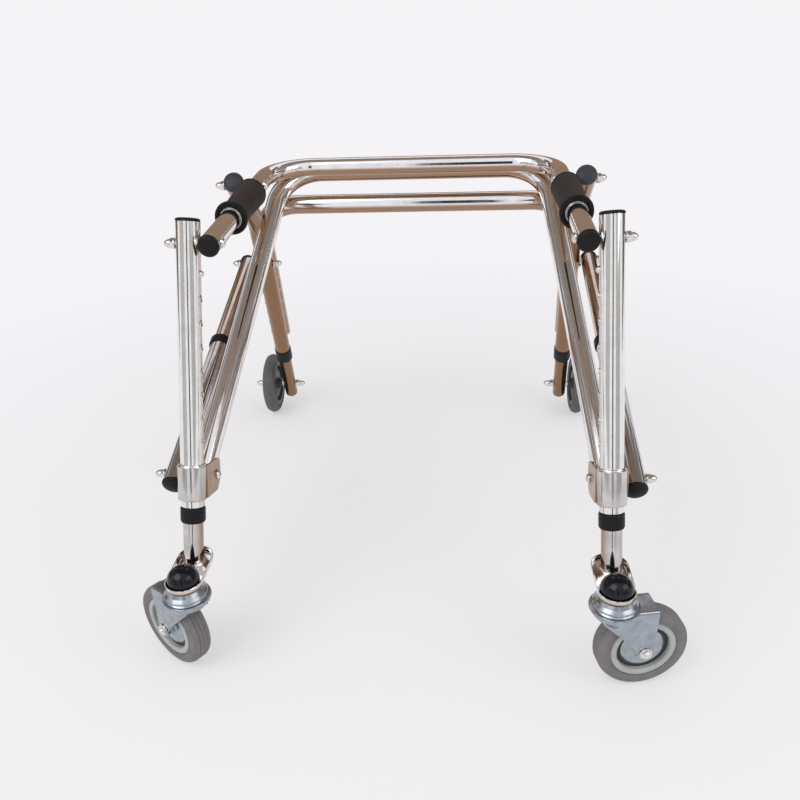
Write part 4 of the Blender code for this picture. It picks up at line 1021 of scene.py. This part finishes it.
def build_fixed_frame():
    handle_rail()
    diagonal_frame()
    for word, side in SIDES:
        out = outboard(side)
        post_tube(word, side)
        post_cap(word, side)
        collar(word + "_front_bush", post_point(side, POST_LENGTH + GAP), post_way(side),
               FRONT_BUSH_LENGTH, FRONT_BUSH_LIP)
        post_bracket(word, side)
        grip(word, side)
        ahead = rail_point(side, -1) - rail_point(side, 0)
        plug(word + "_rail_plug", rail_point(side, -RAIL_TOE), ahead, SLIDE_RADIUS, SLIDE_BORE)
        head = rail_point(side, 0) - out * (SLIDE_RADIUS + GAP)
        far = FRAME_RADIUS / cos(POST_SPLAY) + 2 * GAP
        bolt(word + "_post_bolt", head, post_point(side, POST_BOLT_DOWN) + out * far)
        far = out * (FRAME_RADIUS + 2 * GAP)
        head = lower_bolt_place(side, ear_x(False) - EAR_THICKNESS / 2 - GAP)
        bolt(word + "_lower_bolt", head, brace_foot(side) + far)
        place = pivot_point(side)
        head = sideways(side, RAIL_HALF_WIDTH - SLIDE_RADIUS - GAP, place)
        bolt(word + "_rear_pivot_bolt", head, place + far)


def build_rear_frame():
    rear_cross_frame()
    for word, side in SIDES:
        rear_leg_tube(word, side)
        plug(word + "_rear_leg_plug", *rear_leg_end(side), FRAME_RADIUS, FRAME_BORE, -0.0001,
             "slate")
        collar(word + "_rear_bush", leg_point(side, LEG_TUBE_LENGTH + GAP), leg_way(side),
               REAR_BUSH_LENGTH, REAR_BUSH_LIP)
        node = word + "_brace_stub"
        flank = FRAME_RADIUS / cos(LEG_SPLAY) + 2 * GAP
        end = FRAME_RADIUS + BRACE_TOP_SPACER - GAP
        place = frame_at(leg_point(side, BRACE_TOP_BELOW_KNEE), outboard(side), UP)
        shape = Shape(node + "_fine", place @ TURNED_OVER)
        shape.turn(rod(NUT_RADIUS, -flank, -end), 32)
        add(bolt_ends(shape, flank, head=False), "steel", node)


# Telescopic legs


def inner_leg(node, place, side, top_down, foot_down, button_down, face, look):
    """Inner tube of a leg, with the hole of its snap button."""
    path = [place(side, top_down), place(side, foot_down)]
    path[1:1] = beside_holes(place, side, [button_down])
    holes = hole_row([place(side, button_down)], face, SLIDE_RADIUS)
    drilled_tube(node, path, SLIDE_RADIUS, SLIDE_BORE, holes, look)


def stadium(start, reach, radius, height):
    """Oblong outline along +Y whose straight sides are as long as the reach."""
    line = arc((0, reach), radius, 0, pi, 24) + arc((0, 0), radius, pi, 2 * pi, 24)
    return [start + Vector((x, y, height)) for x, y in line]


def front_inner_leg(word, side):
    """Lower leg, its oblong tray with a rolled rim, the weld round its foot and the race."""
    node = word + "_front_inner_leg"
    way, swivel = post_way(side), swivel_place(side)
    foot = post_point(side, front_leg_foot_down())
    inner_leg(node, post_point, side, FRONT_LEG_TOP_DOWN, front_leg_foot_down(), FRONT_BUTTON_DOWN,
              post_face(side), "painted_shade_chrome")
    low = swivel + UP * TRAY_LOW
    high = TRAY_FLOOR + TRAY_RIM
    levels = [(0.015, 0.0), (0.017, 0.0005), (0.0184, 0.002), (0.0193, 0.0042)]
    levels += [(0.0198, 0.0062), (0.0199, high - 0.0012), (0.02, high - 0.0006)]
    levels += [(0.0197, high - 0.0001), (0.0193, high), (0.0189, high - 0.0002)]
    levels += [(0.0186, high - 0.0009), (0.0184, TRAY_FLOOR + 0.002)]
    levels += [(0.0179, TRAY_FLOOR + 0.0006), (0.0168, TRAY_FLOOR)]
    tray = Shape(node + "_tray")
    rows = [tray.row(stadium(low, foot.y - swivel.y, r, z)) for r, z in levels]
    tray.slab(rows[::-1])
    place = frame_at(foot, -way, BEHIND)
    r = SLIDE_RADIUS + 0.0006
    seam = []
    for a in full_turn(64):
        p = place @ polar(r, a)
        seam.append(p + way * ((TRAY_LOW + TRAY_FLOOR + 0.0006 - p.z) / way.z))
    tray.bead(seam, TRAY_WELD)
    trim(tray, "chrome", node)
    race = [(0, 0.004), (0.0165, 0.004), (0.0203, -0.0019, 0.0012), (0.0236, -0.0052, 0.001)]
    race += [(0.0236, -0.0075, 0.0008), (0, -0.0075)]
    trim(lathe(node + "_race", Matrix.Translation(low), race, 64), "zinc", node)


def caster_cover(word, side):
    """Hollow dome over the kingpin."""
    node = word + "_caster_cover"
    outer, inner = COVER_RADIUS, COVER_RADIUS - COVER_WALL
    place = swivel_place(side) + UP * (TRAY_LOW + TRAY_FLOOR + GAP)
    profile = dome(outer, COVER_RISE, TRAY_RIM, 16)
    profile += [(outer, 0.0), (inner, 0.0), (inner, TRAY_RIM)]
    profile += dome(inner, COVER_RISE - COVER_WALL, TRAY_RIM, 16)[-2::-1]
    add(lathe(node + "_fine", frame_at(place, UP, outboard(1)), profile, 64), "gloss", node)


def rear_inner_leg(word, side):
    inner_leg(word + "_rear_inner_leg", leg_point, side, REAR_LEG_TOP_DOWN,
              axle_down() + REAR_INNER_BELOW_AXLE, REAR_BUTTON_DOWN, leg_face(side),
              "painted_reflection_chrome")


# Wheels


def tyre(node, place, radius, hub_radius, width, crown, look, grooves):
    """Tyre with rounded shoulders and moulded grooves round its tread."""
    half = width / 2
    wall = half - crown * 0.3
    upper = [(hub_radius + GAP, wall), (hub_radius + 0.0012, wall)]
    upper += [(hub_radius + 0.0022, wall - 0.0005), (hub_radius + 0.0032, wall + 0.0001)]
    upper += [(radius - crown * 1.6, half, crown * 0.9)]
    upper += [(radius - crown * 0.45, half - crown * 0.45, crown * 0.9)]
    upper += [(radius, half - crown * 1.5, crown)]
    tread = []
    low = radius - 0.0007
    for z in grooves:
        tread += [(radius, z + 0.0009), (low, z + 0.0004), (low, z - 0.0004), (radius, z - 0.0009)]
    profile = upper + tread + mirrored(upper)
    shape = lathe(node + "_fine", place, profile, WHEEL_ROUND, True)
    rings = [(hypot(x, y) + z) / RING_PITCH for x, y, z in shape.points]
    obj = add(shape, look, node, radians(40))
    obj.data.attributes.new(RING_ATTRIBUTE, "FLOAT", "POINT").data.foreach_set("value", rings)


def hub(node, place, radius, rim, guard, rim_width, boss_width, recess, looks=("hub", "zinc")):
    """Hub with a rolled rim, a sunk web and a boss, a dark ring of painted shade in its recess, and
    a plate over its bearing.
    """
    half, boss = rim_width / 2, boss_width / 2
    bore = AXLE_RADIUS + 0.0004
    inner = radius - rim
    web = half - recess
    upper = [(bore, boss), (BOSS_RADIUS, boss, 0.0008), (BOSS_RADIUS, web), (inner - 0.0012, web)]
    upper += [(inner, web + 0.001), (inner, half - 0.0012, 0.001), (inner + 0.0012, half)]
    upper += [(radius - 0.0008, half, 0.0006), (radius, half - 0.001)]
    add(lathe(node + "_fine", place, upper + mirrored(upper), 80, True), looks[0], node)
    face = [(bore + 0.001, web + 0.0042), (0.0105, web + 0.0042, 0.001)]
    face += [(0.0125, web + 0.003, 0.001), (guard - 0.003, web + 0.0034, 0.0016)]
    face += [(guard, web + 0.0018, 0.0012), (guard, web - 0.0004), (bore + 0.001, web - 0.0004)]
    # Painted shade: a dark ring in the recess between the guard and the rim, where shade falls
    ring = [(guard - 0.001, web + 0.0009), (inner + 0.0002, web + 0.0009, 0.0004)]
    ring += [(inner + 0.0002, web - 0.0006), (guard - 0.001, web - 0.0006)]
    for part, look, profile in (("_guard", looks[1], face), ("_shade_ring", "slate", ring)):
        shape = Shape(node + part, place)
        for way in BOTH_FACES:
            shape.turn(softened(profile), 64, True, way)
        trim(shape, look, node)


def hexagon(shape, radius, low, high, bevel=0.0007):
    """Hexagon-sided block with softened corners between two heights."""
    shape.turn([(0, high), (radius * 0.86, high), (radius, high - bevel),
                (radius, low + bevel * 0.4), (radius * 0.92, low), (0, low)], 6)


def thread(shape, radius, low, high, pitch=0.0008):
    """Threaded shank that ends in a chamfer."""
    profile = [(0, high), (radius * 0.8, high)]
    z = high - pitch
    while z > low:
        profile += [(radius, z), (radius * 0.9, z - pitch / 2)]
        z -= pitch
    shape.turn(profile + [(radius, low), (0, low)], 24)


def caster(word, side):
    """Wheel, fork and axle bolt of a caster, turned as in the photo."""
    trail, across = caster_ways(side)
    swivel = swivel_place(side)
    centre = swivel + trail * CASTER_TRAIL + UP * FRONT_WHEEL_RADIUS
    wheel = frame_at(centre, across, UP)
    tyre(word + "_caster_tyre", wheel, FRONT_WHEEL_RADIUS, FRONT_HUB_RADIUS, FRONT_TYRE_WIDTH,
         FRONT_CROWN, "front_rubber", FRONT_GROOVES)
    hub(word + "_caster_hub", wheel, FRONT_HUB_RADIUS, FRONT_HUB_RIM, FRONT_GUARD_RADIUS,
        FRONT_RIM_WIDTH, FRONT_HUB_WIDTH, FRONT_RECESS)
    caster_fork(word, swivel, trail)
    node = word + "_caster_axle"
    grip = 2 * (FORK_HALF + GAP)
    nut_way = across if across.y < 0 else -across
    shape = Shape(node + "_fine", frame_at(centre - nut_way * grip / 2, nut_way, UP))
    shape.turn(rod(AXLE_RADIUS, grip), 24)
    for low, high in ((grip, grip + 0.001), (-0.001, 0)):
        washer = [(0, high), (WASHER_RADIUS, high, 0.0003), (WASHER_RADIUS, low, 0.0003), (0, low)]
        shape.turn(softened(washer), 40)
    hexagon(shape, CASTER_NUT_RADIUS, grip + 0.001, grip + 0.0032)
    thread(shape, AXLE_RADIUS * 0.85, grip + 0.003, grip + 0.0046)
    hexagon(shape, CASTER_NUT_RADIUS, -0.0045, -0.001)
    add(shape, "steel", node)


def cheek_edges(z):
    """Front and rear edge of a fork's cheek at a height."""
    x, centre, r = CASTER_TRAIL, FRONT_WHEEL_RADIUS, FORK_FOOT_RADIUS
    if z <= centre:
        half = sqrt(max(r ** 2 - (centre - z) ** 2, 1e-8))
        return x - half, x + half
    t = min(1.0, (z - centre) / (CHEEK_TOP - centre))
    return x - r + (-FORK_NOSE - x + r) * t ** 1.15, x + r


def fork_skin(shape, inset, columns=7):
    """Rows over both cheeks and the crown of a fork, from foot to foot."""
    top, centre = CROWN_LOW + FORK_THICKNESS, FRONT_WHEEL_RADIUS
    side, high, r = FORK_HALF - inset, top - inset, max(FORK_FOLD - inset, 0.0008)
    rise = high - r - centre
    half = [(side, centre - FORK_FOOT_RADIUS * cos(pi / 2 * k / 6)) for k in range(7)]
    half += [(side, centre + rise * k / 10) for k in range(1, 11)]
    half += arc((side - r, high - r), r, 0, pi / 2, 6)[1:] + [(side * 0.4, high), (0.0, high)]
    rows = []
    for a, z in [(-a, z) for a, z in half] + half[-2::-1]:
        front, rear = cheek_edges(min(z + (inset if z > FORK_SHOULDER else 0), top))
        spans = [front + (rear - front) * c / (columns - 1) for c in range(columns)]
        rows.append(shape.row([Vector((s, a, z)) for s in spans]))
    return rows


def fork_apron(shape, inset, levels=7, sides=40):
    """Rows of the curved lip that hangs from the crown in front."""
    rows = []
    for t in [j / (levels - 1) for j in range(levels)]:
        row = []
        for k in range(sides + 1):
            a = APRON_START + (APRON_END - APRON_START) * k / sides
            ahead = -cos(a)
            r = CROWN_RADIUS - 0.0006 - 0.0098 * t ** 1.4 + 0.0022 * ahead * t - inset
            z = CROWN_LOW + 0.002 - (0.0165 - 0.005 * ahead ** 2) * t
            row.append(polar(r, a, z))
        rows.append(shape.row(row))
    return rows


def caster_fork(word, swivel, trail):
    """Pressed fork: two folded cheeks, a cupped crown with its race, and an apron in front."""
    node = word + "_caster_fork"
    shape = Shape(node + "_fine", frame_at(swivel, UP, trail))
    shape.sheet(fork_skin(shape, 0.0), fork_skin(shape, FORK_THICKNESS * 0.85))
    shape.sheet(fork_apron(shape, 0.0), fork_apron(shape, APRON_WALL))
    outer, top = CROWN_RADIUS, RACE_TOP
    crown = [(0, top), (0.02, top), (0.0218, top - 0.0004, 0.001)]
    crown += [(0.0234, top - 0.0022, 0.0006), (0.0262, top - 0.0026, 0.0008)]
    crown += [(outer, top - 0.004, 0.0012), (outer, CROWN_LOW + 0.001, 0.001)]
    crown += [(outer - 0.0016, CROWN_LOW, 0.0006), (0, CROWN_LOW)]
    shape.turn(softened(crown), 72)
    nut_low = TRAY_LOW + TRAY_FLOOR + GAP
    shape.turn(rod(KINGPIN_RADIUS, nut_low, top - 0.001), 24)
    hexagon(shape, KINGPIN_NUT_RADIUS, nut_low, nut_low + 0.006)
    add(shape, "zinc", node)


def rear_wheel(word, side):
    """Fixed wheel with its axle bolt, spacer and two cap nuts."""
    place = frame_at(rear_wheel_centre(side), outboard(side), UP)
    tyre(word + "_rear_tyre", place, REAR_WHEEL_RADIUS, REAR_HUB_RADIUS, REAR_TYRE_WIDTH,
         REAR_CROWN, "rear_rubber", ())
    # The rear hub and its guard take the painted shade of the dark hub plastic
    hub(word + "_rear_hub", place, REAR_HUB_RADIUS, REAR_HUB_RIM, REAR_GUARD_RADIUS,
        REAR_RIM_WIDTH, REAR_HUB_WIDTH, REAR_RECESS, ("rear_hub", "rear_hub"))
    node = word + "_rear_axle"
    axle = leg_point(side, axle_down())
    flank = SLIDE_RADIUS / cos(LEG_SPLAY) + 2 * GAP
    far = abs(rear_wheel_centre(side).x - axle.x) + REAR_HUB_WIDTH / 2 + GAP
    near = far - REAR_HUB_WIDTH - 2 * GAP
    shape = Shape(node + "_fine", frame_at(axle, outboard(side), UP))
    shape.turn(rod(AXLE_RADIUS, far + 0.003, -flank - 0.003), 24)
    outer = AXLE_NUT_RADIUS - 0.0008
    spacer = [(AXLE_RADIUS, near), (outer, near, 0.0004), (outer, flank, 0.0004)]
    shape.turn(softened(spacer + [(AXLE_RADIUS, flank)]), 36, ring=True)
    for way, start in zip(BOTH_FACES, (far, flank)):
        cap_nut(shape, AXLE_NUT_RADIUS, start, AXLE_NUT_HEIGHT, AXLE_NUT_DOME, way)
    add(shape, "steel", node)


# Braces


def brace(word, side):
    """Sleeve with its collar and plug, and the thinner rod that slides in it."""
    foot, top, way = brace_foot(side), brace_top(side), brace_way(side)
    node = word + "_brace_sleeve"
    mouth = foot + way * BRACE_SLEEVE_LENGTH
    tube(node, [foot - way * BRACE_TOE, mouth], FRAME_RADIUS, FRAME_BORE, "painted_shade_chrome")
    high = BRACE_COLLAR_LENGTH + 0.0006
    outer, inner, bore = FRAME_RADIUS + 0.002, FRAME_RADIUS + 0.0002, SLIDE_RADIUS + 0.0002
    profile = [(bore, high), (outer - 0.0018, high, 0.0008), (outer, high - 0.0022, 0.0012)]
    profile += [(outer, 0.0012, 0.001), (inner, 0), (inner, high - 0.0008), (bore, high - 0.0008)]
    place = frame_at(mouth - way * BRACE_COLLAR_LENGTH, way, UP)
    trim(lathe(node + "_collar", place, profile, ring=True), "black", node)
    plug(word + "_brace_plug", foot - way * BRACE_TOE, -way, FRAME_RADIUS, FRAME_BORE)
    node = word + "_brace_rod"
    end = top + way * BRACE_ROD_TOE
    tube(node, [mouth - way * BRACE_INSERTED, end], SLIDE_RADIUS, SLIDE_BORE, "painted_reflection_chrome")
    cuff, low = SLIDE_RADIUS + BRACE_CAP_LIP, -BRACE_CAP_LENGTH
    profile = dome(cuff, PLUG_DOME - 0.0002, 0.0) + [(cuff, low)]
    profile += [(SLIDE_RADIUS - 0.0002, low - 0.0003), (0, low - 0.0003)]
    trim(lathe(node + "_tip", frame_at(end, way, UP), profile), "black", node)
    shape = Shape(node + "_nut", frame_at(top, outboard(side), UP))
    trim(bolt_ends(shape, SLIDE_RADIUS, head=False), "steel", node)


# Stage, light and camera


def quad(name, place, x, y, material):
    """Four-cornered sheet of the stage, given by its half sides."""
    mesh = bpy.data.meshes.new(name)
    corners = [place @ Vector((x * i, y * j, 0)) for i, j in ((-1, -1), (1, -1), (1, 1), (-1, 1))]
    mesh.from_pydata(corners, [], [(0, 1, 2, 3)])
    mesh.materials.append(material)
    return placed(name, mesh)


def card(name, centre, facing, width, height, colour):
    """Studio card that only the shiny parts reflect."""
    values = {"Base_Color": (*colour, 1), "Roughness": 0.9, "Specular_IOR_Level": 0.0}
    material = new_material(name, **values)[0]
    obj = quad(name, frame_at(Vector(centre), Vector(facing)), height / 2, width / 2, material)
    obj.visible_camera = False
    obj.visible_diffuse = False
    obj.visible_shadow = False


def lamp(name, centre, size, power):
    """Soft white lamp that points at the middle of the walker."""
    light = bpy.data.lights.new(name, "AREA")
    light.shape = "RECTANGLE"
    light.size, light.size_y = size
    light.energy = power
    centre, middle = Vector(centre), Vector((0, 0, 0.25))
    placed(name, light).matrix_world = frame_at(centre, centre - middle, UP)


def seen_ray(tree):
    """1 for what the camera, metal or glass sees, and 0 for what only lights the object."""
    path = node_of(tree, "ShaderNodeLightPath")
    total = path.outputs["Is Camera Ray"]
    for kind in ("Is Glossy Ray", "Is Transmission Ray"):
        both = node_of(tree, "ShaderNodeMath", total, path.outputs[kind], operation="MAXIMUM")
        total = both.outputs["Value"]
    return total


def build_floor(reach=40.0):
    """Pale floor that holds the shadow near the object and meets the backdrop without a line."""
    material, tree = new_material("pale_floor", Base_Color=(0.965, 0.955, 0.96, 1), Roughness=0.85,
                                  Specular_IOR_Level=0.1)
    floor = quad("floor", Matrix.Identity(4), reach, reach, material)
    where = node_of(tree, "ShaderNodeTexCoord").outputs["Object"]
    length = node_of(tree, "ShaderNodeVectorMath", where, operation="LENGTH").outputs["Value"]
    far = spread(tree, length, 0.5, 1, 0.5, 1.4)
    share = node_of(tree, "ShaderNodeMath", far, seen_ray(tree), operation="MULTIPLY")
    glow = node_of(tree, "ShaderNodeEmission", Color=(*BACKDROP, 1), Strength=1.0)
    mix = node_of(tree, "ShaderNodeMixShader", share.outputs["Value"],
                  tree.nodes["Principled BSDF"].outputs["BSDF"], glow.outputs["Emission"])
    tree.links.new(mix.outputs["Shader"], tree.nodes["Material Output"].inputs["Surface"])


def build_world():
    """Soft light all round, and the plain backdrop for what is seen of it."""
    world = bpy.data.worlds.new("studio")
    bpy.context.scene.world = world
    world.use_nodes = True
    tree = world.node_tree
    tree.nodes.clear()
    soft = node_of(tree, "ShaderNodeBackground", Color=(1, 1, 1, 1), Strength=0.62)
    seen = node_of(tree, "ShaderNodeBackground", Color=(*BACKDROP, 1), Strength=1.0)
    mix = node_of(tree, "ShaderNodeMixShader", seen_ray(tree), soft.outputs["Background"],
                  seen.outputs["Background"])
    node_of(tree, "ShaderNodeOutputWorld", mix.outputs["Shader"])


def build_stage():
    build_floor()
    build_world()
    lamp("key", (-1.6, -1.9, 2.6), (2.2, 2.2), 34)
    lamp("fill", (2.0, -1.2, 1.6), (1.2, 1.6), 9)
    pale = (0.62, 0.62, 0.59)
    sand = (0.4, 0.27, 0.19)
    brown = (0.25, 0.185, 0.145)
    grey = (0.34, 0.325, 0.315)
    dark = (0.045, 0.04, 0.04)
    card("dark_strip", (0.1, -3.4, 1.0), (0, 1, -0.1), 0.55, 2.2, dark)
    for word, s in SIDES:
        card(word + "_front_card", (s * 2.4, -2.5, 0.9), (-s * 0.7, 0.72, 0), 2.3, 2.2, pale)
        card(word + "_card", (s * 3.4, 1.2, 0.9), (-s, 0, 0), 3.0, 1.5, brown)
        card(word + "_high_card", (s * 2.5, 0.7, 2.3), (-s, -0.2, -0.8), 2.2, 1.5, grey)
        card(word + "_back_card", (s * 1.5, 2.0, 2.3), (-s * 0.6, -0.8, -0.8), 0.9, 1.3, brown)
        card(word + "_dark_card", (s * 1.9, 2.4, 1.2), (-s * 0.6, -0.8, -0.3), 0.28, 2.4, dark)
    card("back_card", (0, 3.2, 1.3), (0, -1, -0.1), 7.0, 2.4, sand)
    card("top_card", (0, 0.35, 3.0), (0, 0, -1), 2.0, 4.4, (0.34, 0.27, 0.22))


def place_camera():
    """Camera as fitted to the photo."""
    tilt = cos(CAMERA_TILT)
    ahead = Vector((sin(CAMERA_HEADING) * tilt, cos(CAMERA_HEADING) * tilt, -sin(CAMERA_TILT)))
    level = Vector((cos(CAMERA_HEADING), -sin(CAMERA_HEADING), 0))
    right = level * cos(CAMERA_ROLL) + ahead.cross(level) * sin(CAMERA_ROLL)
    data = bpy.data.cameras.new("camera")
    data.sensor_width = 36
    data.lens = CAMERA_LENS
    data.shift_x, data.shift_y = CAMERA_SHIFT
    matrix = Matrix((right, -ahead.cross(right), -ahead)).transposed().to_4x4()
    matrix.translation = CAMERA_PLACE
    camera = placed("camera", data)
    camera.matrix_world = matrix
    bpy.context.scene.camera = camera


place_camera()
bpy.context.scene.view_settings.view_transform = "Standard"
build_stage()
build_fixed_frame()
build_rear_frame()
for word, side in SIDES:
    front_inner_leg(word, side)
    caster_cover(word, side)
    place = post_point(side, FRONT_BUTTON_DOWN)
    snap_button(word + "_front_button", place, post_face(side), post_way(side))
    rear_inner_leg(word, side)
    place = leg_point(side, REAR_BUTTON_DOWN)
    snap_button(word + "_rear_button", place, leg_face(side), leg_way(side))
    caster(word, side)
    rear_wheel(word, side)
    brace(word, side)
